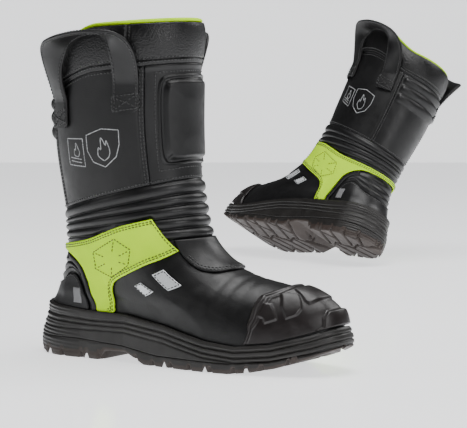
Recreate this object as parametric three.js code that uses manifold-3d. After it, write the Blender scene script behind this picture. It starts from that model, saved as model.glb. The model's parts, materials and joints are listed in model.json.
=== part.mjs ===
// A pair of pull-on fire boots: the right boot stands, the left boot lies tipped on the edge of its sole.
// Millimetres. In a boot's own frame +Y is the toe, +X the outer (lateral) side, +Z up, floor at z = 0.
// The leather is laid on one last surface: an angle runs round the leg (0 front, 90 lateral, 180 back,
// -90 medial), a station runs down it (0 rim, 1 collar seam, 3 and 5 ends of the ankle bellows,
// 11 feather line where upper meets sole, 12 lasted edge), and an offset lies along its normal.
import * as THREE from 'three';
import { mergeVertices } from 'three/addons/utils/BufferGeometryUtils.js';
import Module from 'manifold-3d';

const wasm = await Module();
wasm.setup();

// ---- Driving dimensions ----
const FOOT_LENGTH = 295;      // upper along the feather line
const BALL_WIDTH = 100;       // upper across the ball of the foot
const BOOT_HEIGHT = 302;      // rim at the front, above the floor
const LEATHER = 2.4;          // main leather
const OVERLAY = 1.8;          // sewn-on trims
const RUBBER_TOE = 2.6;       // moulded toe bumper
const SHIN_PAD = 3.6;         // raised shin pad
const COLLAR_PADDING = 3;     // bulge of the padded collar
const LINING = 3;             // lining with its membrane, in the foot
const SHAFT_LINING = 5;       // padded lining of the shaft
const CAP_SHELL = 2;          // safety toe cap and heel counter
const CLEARANCE = 0.6;        // between neighbouring layers
const SHELL_GAP = 1.4;        // either side of toe cap and heel counter
const SOLE_EDGE = 5;          // sole beyond the upper
const CUP_DEPTH = 8;          // how deep the upper sits in the midsole
const CUP_LIP = 1.5;          // midsole lip above the feather line
const SHANK_WIDTH = 22;
const SHANK_THICKNESS = 2.2;
const PLATE_THICKNESS = 1.6;  // puncture plate
const FOOTBED = 4.5;
const GROOVE_DEPTH = 5.5;     // cleats of the outsole
const GROOVE_WIDTH = 5;
const BELLOWS_RIBS = 5;
const RIB_HEIGHT = 2.4;
const PIPING_RADIUS = 2.6;
const STRAP_WIDTH = 22;       // pull loops
const STRAP_THICKNESS = 3;
const LOOP_RISE = 47;         // arch above its tabs
const LOOP_STANDOFF = 15.5;   // arch out from the leg

// Left boot: yaw about +Z, lean about its own toe axis, and where its origin stands, in degrees and mm.
const LEFT_YAW = 162;
const LEFT_LEAN = 30;
const LEFT_PLACE = [-785, -106];

// ---- The last: stations graded from a size 43 boot ----
const LAST = { length: 295, width: 100, height: 302, ankle: 115 };
// front and back hold [y, z] at angles 0 and 180; half is half the width; round < 1 squares the section.
// foot (0 to 1) brings in the foot's own outline, inset shifts the toe towards the big toe, and dip
// lowers the ring towards the calf.
const TUCK = CUP_DEPTH - 1;   // how far the lasted edge turns in below the feather line
const STATIONS = [
  { front: [157, 302], back: [15, 292], half: 56, round: 1, foot: 0, sag: 0, inset: 0, dip: 24 },
  { front: [156, 266], back: [13, 249], half: 56, round: 1, foot: 0, sag: 0, inset: 0, dip: 14 },
  { front: [155, 214], back: [15, 186], half: 55, round: 1, foot: 0, sag: 0, inset: 0, dip: 0 },
  { front: [158, 164], back: [24, 131], half: 51, round: 1, foot: 0, sag: 0, inset: 0, dip: 0 },
  { front: [163, 137], back: [25, 115], half: 49, round: 1, foot: 0.1, sag: 0, inset: 0, dip: 0 },
  { front: [171, 112], back: [25, 99], half: 47, round: 1, foot: 0.25, sag: 0, inset: 0, dip: 0 },
  { front: [190, 92], back: [25, 84], half: 46, round: 0.95, foot: 0.45, sag: -1, inset: -1, dip: 0 },
  { front: [217, 80], back: [21, 71], half: 46, round: 0.9, foot: 0.7, sag: -3, inset: -3, dip: 0 },
  { front: [246, 74], back: [17, 61], half: 47, round: 0.86, foot: 0.85, sag: -4, inset: -5, dip: 0 },
  { front: [276, 68], back: [14, 54], half: 47, round: 0.83, foot: 0.95, sag: -4, inset: -7, dip: 0 },
  { front: [298, 55], back: [11, 49], half: 47, round: 0.8, foot: 1, sag: -2, inset: -8, dip: 0 },
  { front: [304, 39], back: [9, 46], half: 47, round: 0.78, foot: 1, sag: 0, inset: -8, dip: 0 },
  { front: [304, 39 - TUCK], back: [9, 46 - TUCK], half: 47, round: 0.78, foot: 1, sag: 0, inset: -8, dip: 0 },
];
// How much the feather line's own wave applies at each station.
const FEATHER_SHARE = [0, 0, 0, 0, 0, 0, 0.05, 0.2, 0.4, 0.65, 0.85, 1, 1];
// Along the foot, from heel -1 to toe 1: half-width factors outside and inside, and feather line height.
const ALONG = [-1, -0.82, -0.65, -0.315, 0.02, 0.29, 0.52, 0.725, 0.9, 1];
const LATERAL = [1.12, 1.1, 0.96, 0.84, 0.94, 1.06, 1.11, 1.09, 1.03, 1];
const MEDIAL = [1.1, 1.07, 0.92, 0.72, 0.82, 0.98, 1.08, 1.08, 1.03, 1];
const FEATHER = [
  [9, 46], [38, 44], [68, 42], [112, 41], [156, 35], [201, 25], [230, 22], [260, 25], [289, 33], [304, 39],
];
// Floor side of the sole, and the plane between outsole and midsole, as [y, z].
const GROUND = [[3, 4], [14, 0], [225, 0], [245, 2.3], [265, 6.5], [290, 14.8], [312, 24]];
const SOLE_SPLIT = [[0, 18], [60, 18], [110, 15], [150, 10], [225, 9.5], [260, 13], [290, 21], [312, 30]];

const radians = THREE.MathUtils.degToRad;

/** Reads a curve given as [x, value] pairs, straight between them. */
function between(pairs, x) {
  const last = pairs.length - 1;
  if (x <= pairs[0][0]) return pairs[0][1];
  if (x >= pairs[last][0]) return pairs[last][1];
  const i = pairs.findIndex((pair) => pair[0] > x) - 1;
  const share = (x - pairs[i][0]) / (pairs[i + 1][0] - pairs[i][0]);
  return THREE.MathUtils.lerp(pairs[i][1], pairs[i + 1][1], share);
}

/** Catmull-Rom through one number per station. */
function alongStations(values, station) {
  const last = values.length - 1;
  const t = THREE.MathUtils.clamp(station, 0, last);
  const i = Math.min(Math.floor(t), last - 1);
  const f = t - i;
  const before = values[Math.max(i - 1, 0)];
  const [start, end] = [values[i], values[i + 1]];
  const after = values[Math.min(i + 2, last)];
  const slope = (end - before) * f;
  const square = (2 * before - 5 * start + 4 * end - after) * f * f;
  const cube = (3 * start - before - 3 * end + after) * f * f * f;
  return 0.5 * (2 * start + slope + square + cube);
}

const column = (read) => STATIONS.map(read);
const FRONT_Y = column((s) => s.front[0]);
const FRONT_Z = column((s) => s.front[1]);
const BACK_Y = column((s) => s.back[0]);
const BACK_Z = column((s) => s.back[1]);
const HALF = column((s) => s.half);
const ROUND = column((s) => s.round);
const FOOT = column((s) => s.foot);
const SAG = column((s) => s.sag);
const INSET = column((s) => s.inset);
const DIP = column((s) => s.dip);

/** Height of the feather line at a place along an ungraded foot. */
const featherHeight = (y) => between(FEATHER, y);

/** Grades a point of the size 43 last to this boot's own sizes. Only what is above the ankle grows taller. */
function grade([x, y, z]) {
  const tall = (BOOT_HEIGHT - LAST.ankle) / (LAST.height - LAST.ankle);
  const height = z > LAST.ankle ? LAST.ankle + (z - LAST.ankle) * tall : z;
  return new THREE.Vector3((x * BALL_WIDTH) / LAST.width, (y * FOOT_LENGTH) / LAST.length, height);
}

/** A point of the last: an ellipse-like ring per station, its ends at front and back. */
function lastPoint(angle, station) {
  const cos = Math.cos(radians(angle));
  const sin = Math.sin(radians(angle));
  const [frontY, backY] = [alongStations(FRONT_Y, station), alongStations(BACK_Y, station)];
  const [frontZ, backZ] = [alongStations(FRONT_Z, station), alongStations(BACK_Z, station)];
  const y = (frontY + backY) / 2 + ((frontY - backY) / 2) * cos;
  let z = (frontZ + backZ) / 2 + ((frontZ - backZ) / 2) * cos + alongStations(SAG, station) * sin * sin;
  const straight = 42.5 - 3.5 * cos;
  z += alongStations(FEATHER_SHARE, station) * (featherHeight(156.5 + 147.5 * cos) - straight);
  const behind = THREE.MathUtils.smoothstep(Math.abs(THREE.MathUtils.euclideanModulo(angle + 180, 360) - 180), 85, 145);
  z -= alongStations(DIP, station) * behind;
  const outer = between(ALONG.map((q, i) => [q, LATERAL[i]]), cos);
  const inner = between(ALONG.map((q, i) => [q, MEDIAL[i]]), cos);
  const side = 0.5 + 0.5 * Math.tanh(sin * 8);
  const outline = 1 + alongStations(FOOT, station) * (outer * side + inner * (1 - side) - 1);
  const reach = Math.sign(sin) * Math.abs(sin) ** alongStations(ROUND, station);
  const toe = THREE.MathUtils.clamp((cos + 0.2) / 1.2, 0, 1) ** 2;
  return grade([alongStations(HALF, station) * reach * outline + alongStations(INSET, station) * toe, y, z]);
}

/** Outward normal of the last at a point. */
function lastNormal(angle, station) {
  const round = lastPoint(angle + 2, station).sub(lastPoint(angle - 2, station));
  const down = lastPoint(angle, station + 0.08).sub(lastPoint(angle, station - 0.08));
  return round.cross(down).normalize();
}

/** A point laid on the last, lifted by offset. */
function laid(angle, station, offset) {
  return lastPoint(angle, station).addScaledVector(lastNormal(angle, station), offset);
}

// ---- Solids ----
/** Closed geometry from points and triangles: shared points merged, collapsed triangles dropped, facing out. */
function closed(points, triangles) {
  const geometry = new THREE.BufferGeometry();
  geometry.setAttribute('position', new THREE.Float32BufferAttribute(points.flatMap((p) => [p.x, p.y, p.z]), 3));
  geometry.setIndex(triangles);
  const merged = mergeVertices(geometry, 1e-4);
  const index = merged.getIndex().array;
  const position = merged.getAttribute('position');
  const corner = (i) => new THREE.Vector3().fromBufferAttribute(position, i);
  const kept = [];
  let volume = 0;
  for (let i = 0; i < index.length; i += 3) {
    const [a, b, c] = [index[i], index[i + 1], index[i + 2]];
    if (a !== b && b !== c && c !== a) {
      kept.push(a, b, c);
      volume += corner(a).dot(corner(b).cross(corner(c)));
    }
  }
  merged.setIndex(volume < 0 ? kept.reverse() : kept);
  return merged;
}

/** Skins a row of equal rings of points: a closed ring when round is true, else capped at both ends. */
function skinned(rings, round) {
  const size = rings[0].length;
  const triangles = [];
  for (let i = 0; i < rings.length - (round ? 0 : 1); i += 1) {
    const next = (i + 1) % rings.length;
    for (let k = 0; k < size; k += 1) {
      const [a, b] = [i * size + k, next * size + k];
      const [c, d] = [next * size + ((k + 1) % size), i * size + ((k + 1) % size)];
      triangles.push(a, b, c, a, c, d);
    }
  }
  return { points: rings.flat(), triangles, size };
}

// Every ring and the sole share these corners, so that their facets nest.
const SEGMENTS = 30;

/** A closed ring round the leg: at each angle the profile gives a loop of points. */
function ringSolid(profile) {
  const rings = Array.from({ length: SEGMENTS }, (_, i) => profile((360 * i) / SEGMENTS));
  const { points, triangles } = skinned(rings, true);
  return closed(points, triangles);
}

/** A bar through rings of four points each, with its two end faces. */
function bar(rings) {
  const { points, triangles, size } = skinned(rings, false);
  const end = points.length - size;
  triangles.push(0, 1, 2, 0, 2, 3, end, end + 2, end + 1, end, end + 3, end + 2);
  return closed(points, triangles);
}

/** A leather ring of the last, its outer face through one list of stations and its inner face another. */
function sleeve(outerStations, outer, innerStations, inner) {
  return ringSolid((angle) => [
    ...outerStations.map((s) => laid(angle, s, outer(angle, s))),
    ...[...innerStations].reverse().map((s) => laid(angle, s, inner)),
  ]);
}

const evenly = (from, to, steps) => Array.from({ length: steps + 1 }, (_, i) => from + ((to - from) * i) / steps);
const flat = () => 0;
const COLUMN_STEP = 360 / SEGMENTS;  // degrees between columns of points

/**
 * A sewn piece laid on the last between two offsets. Its outline is a list of columns
 * [angle, upper station, lower station]; finer columns, and rows, follow the curve of the leg.
 */
function panel(outline, inner, outer, rows = 3) {
  const columns = [outline[0]];
  outline.slice(1).forEach((column, i) => {
    const before = outline[i];
    const steps = Math.max(1, Math.ceil(Math.abs(column[0] - before[0]) / COLUMN_STEP));
    for (let k = 1; k <= steps; k += 1) {
      columns.push(before.map((value, n) => THREE.MathUtils.lerp(value, column[n], k / steps)));
    }
  });
  const height = rows + 1;
  const points = [outer, inner].flatMap((offset) => columns.flatMap(
    ([angle, upper, lower]) => evenly(upper, lower, rows).map((station) => laid(angle, station, offset)),
  ));
  const half = points.length / 2;
  const triangles = [];
  const quad = (a, b, c, d) => triangles.push(a, b, c, a, c, d);
  for (let i = 0; i < columns.length - 1; i += 1) {
    for (let k = 0; k < rows; k += 1) {
      const [a, b] = [i * height + k, (i + 1) * height + k];
      quad(a, b, b + 1, a + 1);
      quad(half + a, half + a + 1, half + b + 1, half + b);
    }
    const [top, bottom] = [i * height, i * height + rows];
    quad(top, half + top, half + top + height, top + height);
    quad(bottom, bottom + height, half + bottom + height, half + bottom);
  }
  const last = half - height;
  for (let k = 0; k < rows; k += 1) {
    quad(k, k + 1, half + k + 1, half + k);
    quad(last + k, half + last + k, half + last + k + 1, last + k + 1);
  }
  return closed(points, triangles);
}

/** The whole of an outline that is the same on both sides, from its lateral columns. */
const mirrored = (columns) => [...columns, ...[...columns].reverse().map(([a, ...rest]) => [-a, ...rest])];
const mirroredRoundBack = (columns) => [
  ...columns,
  ...[...columns].reverse().map(([a, ...rest]) => [360 - a, ...rest]),
];

/** Crosswise rows of the sole's plan, heel to toe: the feather line moved outwards by edge. */
function soleRows(edge) {
  const at = (angle) => {
    const run = lastPoint(angle + 2, 11).sub(lastPoint(angle - 2, 11));
    const outward = new THREE.Vector2(-run.y, run.x).normalize().multiplyScalar(edge);
    const point = lastPoint(angle, 11);
    return new THREE.Vector2(point.x + outward.x, point.y + outward.y);
  };
  return evenly(180, 0, SEGMENTS / 2).map((angle) => [at(-angle), at(angle)]);
}

/** A plate in plan from crosswise rows, whose lower and upper faces follow heights along the foot. */
function plate(rows, lower, upper) {
  const lift = (point, height) => new THREE.Vector3(point.x, point.y, height((point.y * LAST.length) / FOOT_LENGTH));
  return bar(rows.map(([left, right]) => [
    lift(left, lower), lift(right, lower), lift(right, upper), lift(left, upper),
  ]));
}

function toManifold(geometry) {
  const position = new THREE.BufferGeometry();
  position.setAttribute('position', geometry.getAttribute('position'));
  position.setIndex(geometry.getIndex());
  const merged = mergeVertices(position, 1e-4);
  const vertProperties = new Float32Array(merged.getAttribute('position').array);
  const triVerts = new Uint32Array(merged.getIndex().array);
  return new wasm.Manifold(new wasm.Mesh({ numProp: 3, vertProperties, triVerts }));
}

function fromManifold(solid) {
  const mesh = solid.getMesh();
  const geometry = new THREE.BufferGeometry();
  geometry.setAttribute('position', new THREE.BufferAttribute(new Float32Array(mesh.vertProperties), 3));
  geometry.setIndex(new THREE.BufferAttribute(new Uint32Array(mesh.triVerts), 1));
  return geometry;
}

/** Cuts every tool out of a solid. */
function cut(geometry, tools) {
  return fromManifold(tools.reduce((solid, tool) => solid.subtract(toManifold(tool)), toManifold(geometry)));
}

// ---- Finishes ----
const finish = (color, roughness, metalness = 0) => new THREE.MeshStandardMaterial({ color, roughness, metalness });
const FINISHES = {
  leather: finish(0x1d1c1e, 0.55),
  grainLeather: finish(0x19191b, 0.7),
  soleRubber: finish(0x231e1b, 0.65),
  toeRubber: finish(0x1f1a19, 0.5),
  hiVis: finish(0xdbff00, 0.6),
  reflective: finish(0xe6e8ea, 0.35),
  lining: finish(0x3a3d42, 0.9),
  composite: finish(0xb9b4a4, 0.6),
  steel: finish(0x9a9da1, 0.35, 0.9),
  footbed: finish(0x4a4d52, 0.9),
};

// ---- Pieces of the foot ----
const insetOf = (layer) => -(LEATHER + CLEARANCE + layer);
const shellOuter = -(LEATHER + SHELL_GAP);
const shellInner = shellOuter - CAP_SHELL;
const footLiningOuter = shellInner - SHELL_GAP;
const footLiningInner = footLiningOuter - LINING;
const shaftLiningOuter = insetOf(CLEARANCE);
const shaftLiningInner = shaftLiningOuter - SHAFT_LINING;
const cupFloor = (y) => featherHeight(y) - CUP_DEPTH;
const plateBottom = (y) => cupFloor(y) + 0.5;
const plateTop = (y) => plateBottom(y) + PLATE_THICKNESS;
const footbedBottom = (y) => plateTop(y) + CLEARANCE;

/** Rubber outsole: heel and forefoot blocks, arch raised behind the ball, cleats parted by slanted grooves. */
function outsole() {
  const body = plate(soleRows(SOLE_EDGE), (y) => between(GROUND, y), (y) => between(SOLE_SPLIT, y));
  const lengthwise = (y) => (y * FOOT_LENGTH) / LAST.length;
  const profile = [[86, -3], [89, 9], [112, 9.5], [134, -3]].map(([y, z]) => [lengthwise(y), z]);
  const wide = BALL_WIDTH;
  const arch = bar([-wide, wide].map((x) => profile.map(([y, z]) => new THREE.Vector3(x, y, z))));
  const groove = (y, slant) => {
    const top = between(GROUND, y) + GROOVE_DEPTH;
    const box = new THREE.BoxGeometry(1.5 * wide, GROOVE_WIDTH, 20);
    return box.rotateZ(radians(slant)).translate(0, lengthwise(y), top - 10);
  };
  const heelGrooves = [30, 54].map((y) => groove(y, 0));
  const ballGrooves = evenly(146, 282, 6).map((y, i) => groove(y, i % 2 ? 12 : -12));
  return cut(body, [arch, ...heelGrooves, ...ballGrooves]);
}

/** Midsole: a cup that the lasted upper sits in, with a pocket for the shank under its floor. */
function midsole() {
  const body = plate(
    soleRows(SOLE_EDGE), (y) => between(SOLE_SPLIT, y) + 0.4, (y) => featherHeight(y) + CUP_LIP,
  );
  const cup = plate(soleRows(CLEARANCE), cupFloor, (y) => featherHeight(y) + CUP_DEPTH);
  const pocketDepth = SHANK_THICKNESS + CLEARANCE;
  const pocket = plate(shankRows(CLEARANCE), (y) => cupFloor(y) - pocketDepth, (y) => cupFloor(y) + 2);
  return cut(body, [cup, pocket]);
}

/** Plan of the shank, from heel to ball, grown by a margin for its pocket. */
function shankRows(margin) {
  const [rear, front] = [58, 158].map((y) => (y * FOOT_LENGTH) / LAST.length);
  const half = SHANK_WIDTH / 2 + margin;
  return evenly(rear - margin, front + margin, 5)
    .map((y) => [new THREE.Vector2(-half, y), new THREE.Vector2(half, y)]);
}

const shankTop = (y) => cupFloor(y) - CLEARANCE / 2;
const shank = () => plate(shankRows(0), (y) => shankTop(y) - SHANK_THICKNESS, shankTop);
const puncturePlate = () => plate(soleRows(-LEATHER - 0.9), plateBottom, plateTop);
// The toe leans further over the footbed on a longer last, so the gap round it grows with the length.
const footbedGap = 2 * CLEARANCE * (FOOT_LENGTH / LAST.length) ** 3;
const footbed = () => plate(
  soleRows(footLiningInner - footbedGap), footbedBottom, (y) => footbedBottom(y) + FOOTBED,
);

const VAMP_ROWS = [5.04, 5.6, 6.2, 6.8, 7.4, 8, 8.6, 9.2, 9.8, 10.4, 11, 12];
const vamp = () => sleeve(VAMP_ROWS, flat, VAMP_ROWS, -LEATHER);
const LINING_ROWS = [5.1, 6, 7, 8, 9, 10, 11.7];
const footLining = () => sleeve(LINING_ROWS, () => footLiningOuter, LINING_ROWS, footLiningInner);
const shell = (outline) => panel(outline, shellInner, shellOuter, 5);
const toeCap = () => shell(mirrored([[68, 10.2, 11.6], [62, 9.5, 11.6], [50, 9, 11.6], [30, 8.6, 11.6]]));
const heelCounter = () => shell(
  [[118, 8.6, 11.6], [130, 7.3, 11.6], [148, 6.5, 11.6], [212, 6.5, 11.6], [230, 7.3, 11.6], [242, 8.6, 11.6]],
);
const TRIM_GAP = CLEARANCE + 0.2;
const trim = (outline, thickness, rows = 3) => panel(outline, TRIM_GAP, TRIM_GAP + thickness, rows);
const TRIM_FOOT = 10.66;      // trims end just above the lip of the midsole
const toBottom = (columns) => columns.map(([angle, upper]) => [angle, upper, TRIM_FOOT]);
const toeBumper = () => trim(
  mirrored(toBottom([[56, 10.35], [52, 9.7], [42, 8.95], [28, 8.55], [12, 8.4]])), RUBBER_TOE, 4,
);
const heelCap = () => trim(
  toBottom([[133, 9], [137, 7.5], [143, 6.5], [151, 5.8], [209, 5.8], [217, 6.5], [223, 7.5], [227, 9]]),
  OVERLAY, 5,
);
const instepGuard = () => trim(mirrored([[36, 5.1, 5.8], [33, 5.1, 6.25], [24, 5.1, 6.5]]), OVERLAY);
// Ankle band: a wedge on each side with a leg down to the sole, joined by a narrow band behind the heel.
const BAND = [
  [39.5, 5.36, 5.46], [51, 4.17, 5.66], [60, 4.22, 5.82], [70, 4.27, 6], [84, 4.38, 6.42], [98, 4.58, 6.9],
  [106, 4.66, 7.7], [110, 4.68, TRIM_FOOT], [120, 4.74, TRIM_FOOT], [122, 4.75, 7], [128, 4.79, 6],
  [138, 4.84, 5.5], [150, 4.88, 5.3],
];
const bandInner = CLEARANCE + 0.3;
const hivisBand = () => panel(mirroredRoundBack(BAND), bandInner, bandInner + OVERLAY, 5);
const reflectiveTabLarge = () => trim([[57, 6.3, 6.95], [68, 6.45, 7.25]], OVERLAY / 2, 2);
const reflectiveTabSmall = () => trim([[79, 6.9, 7.4], [86.5, 7.05, 7.8]], OVERLAY / 2, 2);

// ---- Pieces of the ankle ----
/**
 * Leather quilted through foam to its own lining, so it is one soft piece. Its ribs stand proud at the front
 * and lie flat at the sides, where the ankle band covers them.
 */
function ankleBellows() {
  const rows = evenly(3.04, 4.97, 2 * BELLOWS_RIBS);
  const crest = (angle) => RIB_HEIGHT * Math.max(0, Math.cos(radians(angle))) ** 8;
  const ribs = (angle, station) => (rows.indexOf(station) % 2 ? crest(angle) : -LEATHER * 0.6);
  return sleeve(rows, ribs, evenly(3.04, 4.97, 2), shaftLiningInner);
}

// ---- Pieces of the shaft ----
const SEAM = 0.4;             // half the gap at a panel seam, in degrees
const SHIN_SEAM = 47;
const CALF_SEAM = 138;
const PANEL_TOP = 1.02;
const PANEL_BOTTOM = 2.98;
const wall = (from, to) => panel(
  [[from + SEAM, PANEL_TOP, PANEL_BOTTOM], [to - SEAM, PANEL_TOP, PANEL_BOTTOM]], -LEATHER, 0,
);
const shinPad = () => trim(mirrored([[33, 1.34, 2.5], [30.5, 1.24, 2.6]]), SHIN_PAD);

function collar() {
  const padding = (angle, station) => COLLAR_PADDING * Math.sin(Math.PI * (0.12 + 0.76 * station));
  return sleeve([0.05, 0.25, 0.75, 0.97], padding, [0.05, 0.97], -LEATHER);
}
const SHAFT_LINING_ROWS = [0.06, 0.9, 2, 2.94];
const shaftLining = () => sleeve(
  SHAFT_LINING_ROWS, () => shaftLiningOuter, SHAFT_LINING_ROWS, shaftLiningInner,
);

/** Bound rim: a round roll sitting on the edges of collar and lining. */
function collarPiping() {
  return ringSolid((angle) => {
    const centre = laid(angle, 0, -(LEATHER + CLEARANCE)).add(new THREE.Vector3(0, 0, PIPING_RADIUS - 0.4));
    const outward = lastNormal(angle, 0.5).setZ(0).normalize();
    return evenly(0, 300, 5).map((turn) => centre.clone()
      .addScaledVector(outward, PIPING_RADIUS * Math.cos(radians(turn)))
      .add(new THREE.Vector3(0, 0, -PIPING_RADIUS * Math.sin(radians(turn)))));
  });
}

// ---- Pull loops ----
const LOOP_ENDS = { front: 61, rear: 122 };
const TAB_TOP = 1.24;
const TAB_BOTTOM = 1.7;
const TAB_HALF = 11;          // half a tab, in degrees
const HINGE_OFFSET = 2;

const loopTab = (centre, side) => trim(
  [side * centre - TAB_HALF, side * centre + TAB_HALF].map((angle) => [angle, TAB_TOP, TAB_BOTTOM]),
  STRAP_THICKNESS, 2,
);

/** The strap turns as it rises: flat to the leg at both tabs, edge-on to it at the top of the arch. */
function loopArch(side) {
  const steps = 14;
  const middle = (LOOP_ENDS.front + LOOP_ENDS.rear) / 2;
  const spread = (LOOP_ENDS.rear - LOOP_ENDS.front) / 2;
  const centreAt = (share) => {
    const turn = Math.PI * share;
    const angle = middle - spread * Math.sign(Math.cos(turn)) * Math.abs(Math.cos(turn)) ** 0.65;
    const standoff = HINGE_OFFSET + LOOP_STANDOFF * Math.sin(turn) ** 0.7;
    const point = laid(side * angle, TAB_TOP, standoff);
    point.z += LOOP_RISE * Math.sin(turn) ** 0.7;
    return { point, angle: side * angle };
  };
  const rings = evenly(0.07, 0.93, steps).map((share) => {
    const { point, angle } = centreAt(share);
    const along = centreAt(share + 0.01).point.sub(centreAt(share - 0.01).point).normalize();
    const outward = lastNormal(angle, TAB_TOP).setZ(0).normalize();
    const forward = new THREE.Vector3(0, 0, side).cross(outward);
    const twist = Math.PI * THREE.MathUtils.smoothstep(share, 0, 1);
    const wide = forward.multiplyScalar(Math.cos(twist)).addScaledVector(outward, Math.sin(twist));
    wide.addScaledVector(along, -wide.dot(along)).normalize();
    const thick = along.clone().cross(wide);
    const corner = (w, t) => point.clone()
      .addScaledVector(wide, (w * STRAP_WIDTH) / 2).addScaledVector(thick, (t * STRAP_THICKNESS) / 2);
    return [corner(-1, -1), corner(1, -1), corner(1, 1), corner(-1, 1)];
  });
  return bar(rings);
}

// ---- One boot ----
function boot(side) {
  const group = new THREE.Group();
  const add = (name, geometry, material) => {
    const mesh = new THREE.Mesh(geometry, FINISHES[material]);
    mesh.name = `${side}_${name}`;
    group.add(mesh);
  };
  add('outsole', outsole(), 'soleRubber');
  add('midsole', midsole(), 'soleRubber');
  add('shank', shank(), 'steel');
  add('puncture_plate', puncturePlate(), 'composite');
  add('footbed', footbed(), 'footbed');
  add('safety_toe_cap', toeCap(), 'composite');
  add('heel_counter', heelCounter(), 'composite');
  add('foot_lining', footLining(), 'lining');
  add('vamp', vamp(), 'leather');
  add('toe_bumper', toeBumper(), 'toeRubber');
  add('heel_cap', heelCap(), 'leather');
  add('instep_guard', instepGuard(), 'leather');
  add('hivis_band', hivisBand(), 'hiVis');
  add('reflective_tab_large', reflectiveTabLarge(), 'reflective');
  add('reflective_tab_small', reflectiveTabSmall(), 'reflective');
  add('ankle_bellows', ankleBellows(), 'leather');
  add('shaft_lining', shaftLining(), 'lining');
  add('shin_panel', wall(-SHIN_SEAM, SHIN_SEAM), 'leather');
  add('side_panel_lateral', wall(SHIN_SEAM, CALF_SEAM), 'leather');
  add('side_panel_medial', wall(-CALF_SEAM, -SHIN_SEAM), 'leather');
  add('calf_panel', wall(CALF_SEAM, 360 - CALF_SEAM), 'leather');
  add('shin_pad', shinPad(), 'leather');
  add('collar', collar(), 'grainLeather');
  add('collar_piping', collarPiping(), 'hiVis');
  for (const [place, sign] of [['lateral', 1], ['medial', -1]]) {
    add(`loop_tabs_${place}_front`, loopTab(LOOP_ENDS.front, sign), 'grainLeather');
    add(`loop_tabs_${place}_rear`, loopTab(LOOP_ENDS.rear, sign), 'grainLeather');
    add(`pull_loop_${place}`, loopArch(sign), 'leather');
  }
  return group;
}

// ---- The pair ----
const right = boot('right');
const left = boot('left');
left.scale.x = -1;
left.rotation.set(0, radians(LEFT_LEAN), radians(LEFT_YAW), 'ZYX');
const lowest = (object) => new THREE.Box3().setFromObject(object, true).min.z;
left.position.set(...LEFT_PLACE, -lowest(left));

const pair = new THREE.Group();
pair.add(right, left);
const box = new THREE.Box3().setFromObject(pair, true);
const middle = box.getCenter(new THREE.Vector3());
pair.position.set(-middle.x, -middle.y, -box.min.z);

export default pair;
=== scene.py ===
import json
import math

import bmesh
import bpy
import numpy as np
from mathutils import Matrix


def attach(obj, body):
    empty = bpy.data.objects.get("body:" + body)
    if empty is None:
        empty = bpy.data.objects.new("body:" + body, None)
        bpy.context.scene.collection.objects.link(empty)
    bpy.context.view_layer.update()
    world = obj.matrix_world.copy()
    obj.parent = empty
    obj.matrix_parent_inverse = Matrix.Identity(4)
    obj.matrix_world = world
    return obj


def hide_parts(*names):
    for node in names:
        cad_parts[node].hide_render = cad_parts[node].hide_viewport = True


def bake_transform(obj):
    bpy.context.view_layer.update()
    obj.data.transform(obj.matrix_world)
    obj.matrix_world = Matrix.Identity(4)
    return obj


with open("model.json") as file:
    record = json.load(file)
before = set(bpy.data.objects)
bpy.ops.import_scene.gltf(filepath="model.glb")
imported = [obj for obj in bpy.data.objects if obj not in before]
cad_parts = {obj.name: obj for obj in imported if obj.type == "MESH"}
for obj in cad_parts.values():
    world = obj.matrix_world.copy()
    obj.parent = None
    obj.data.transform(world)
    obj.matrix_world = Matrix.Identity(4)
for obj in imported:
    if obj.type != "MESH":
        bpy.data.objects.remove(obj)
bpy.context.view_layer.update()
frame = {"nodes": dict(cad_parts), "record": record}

# ---- The two boots' places ----
# Every piece is worked out once, in millimetres, in the right boot's own frame: +Y to the toe, +X outwards,
# floor at z = 0. The right boot stands as it is; the left one is its mirror image, leaned onto the edge of its
# sole.
ANKLE = np.array([0, 94, 122])  # the ankle flex axis in a boot's frame
LEFT_YAW, LEFT_LEAN = math.radians(162), math.radians(30)
joint_at = {joint["name"]: np.array(joint["pos_m"]) * 1000 for joint in frame["record"]["behaviour"]["joints"]
            if "pos_m" in joint}


def turn(axis, angle):
    """Rotation matrix about the Y axis (axis 1) or the Z axis (axis 2)."""
    c, s = math.cos(angle), math.sin(angle)
    if axis == 1:
        return np.array([[c, 0, s], [0, 1, 0], [-s, 0, c]])
    return np.array([[c, -s, 0], [s, c, 0], [0, 0, 1]])


PLACING = {"right": np.eye(3), "left": turn(2, LEFT_YAW) @ turn(1, LEFT_LEAN) @ np.diag([-1.0, 1, 1])}
ORIGIN = {side: joint_at[side + "_ankle_flex"] - PLACING[side] @ ANKLE for side in PLACING}


def placed(points, side):
    """Boot-frame millimetres to row-frame metres: turned and mirrored by the boot's matrix, then shifted."""
    return (np.asarray(points, float) @ PLACING[side].T + ORIGIN[side]) / 1000


# ---- Camera ----
# A long lens at knee height, looking a little down at the outer side and toe of the standing boot.
LOOK_ANGLE = math.radians(33.5)  # from the boot's side towards its toe
SENSOR, LENS = 36, 153.0964      # sensor width and focal length, in millimetres
EYE_DISTANCE, EYE_ASIDE, EYE_HEIGHT = 1848.6, 166.4, 269
PITCH = math.radians(4.46)
toward = np.array([math.cos(LOOK_ANGLE), math.sin(LOOK_ANGLE), 0])
aside = np.array([-math.sin(LOOK_ANGLE), math.cos(LOOK_ANGLE), 0])
eye = placed(toward * EYE_DISTANCE + aside * EYE_ASIDE + [0, 0, EYE_HEIGHT], "right")
camera = bpy.data.objects.new("camera", bpy.data.cameras.new("camera"))
camera.data.sensor_width = SENSOR
camera.data.lens = LENS
camera.data.clip_end = 50
camera.location = eye
camera.rotation_euler = (math.pi / 2 - PITCH, 0, LOOK_ANGLE + math.pi / 2)
bpy.context.collection.objects.link(camera)
bpy.context.scene.camera = camera

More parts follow.
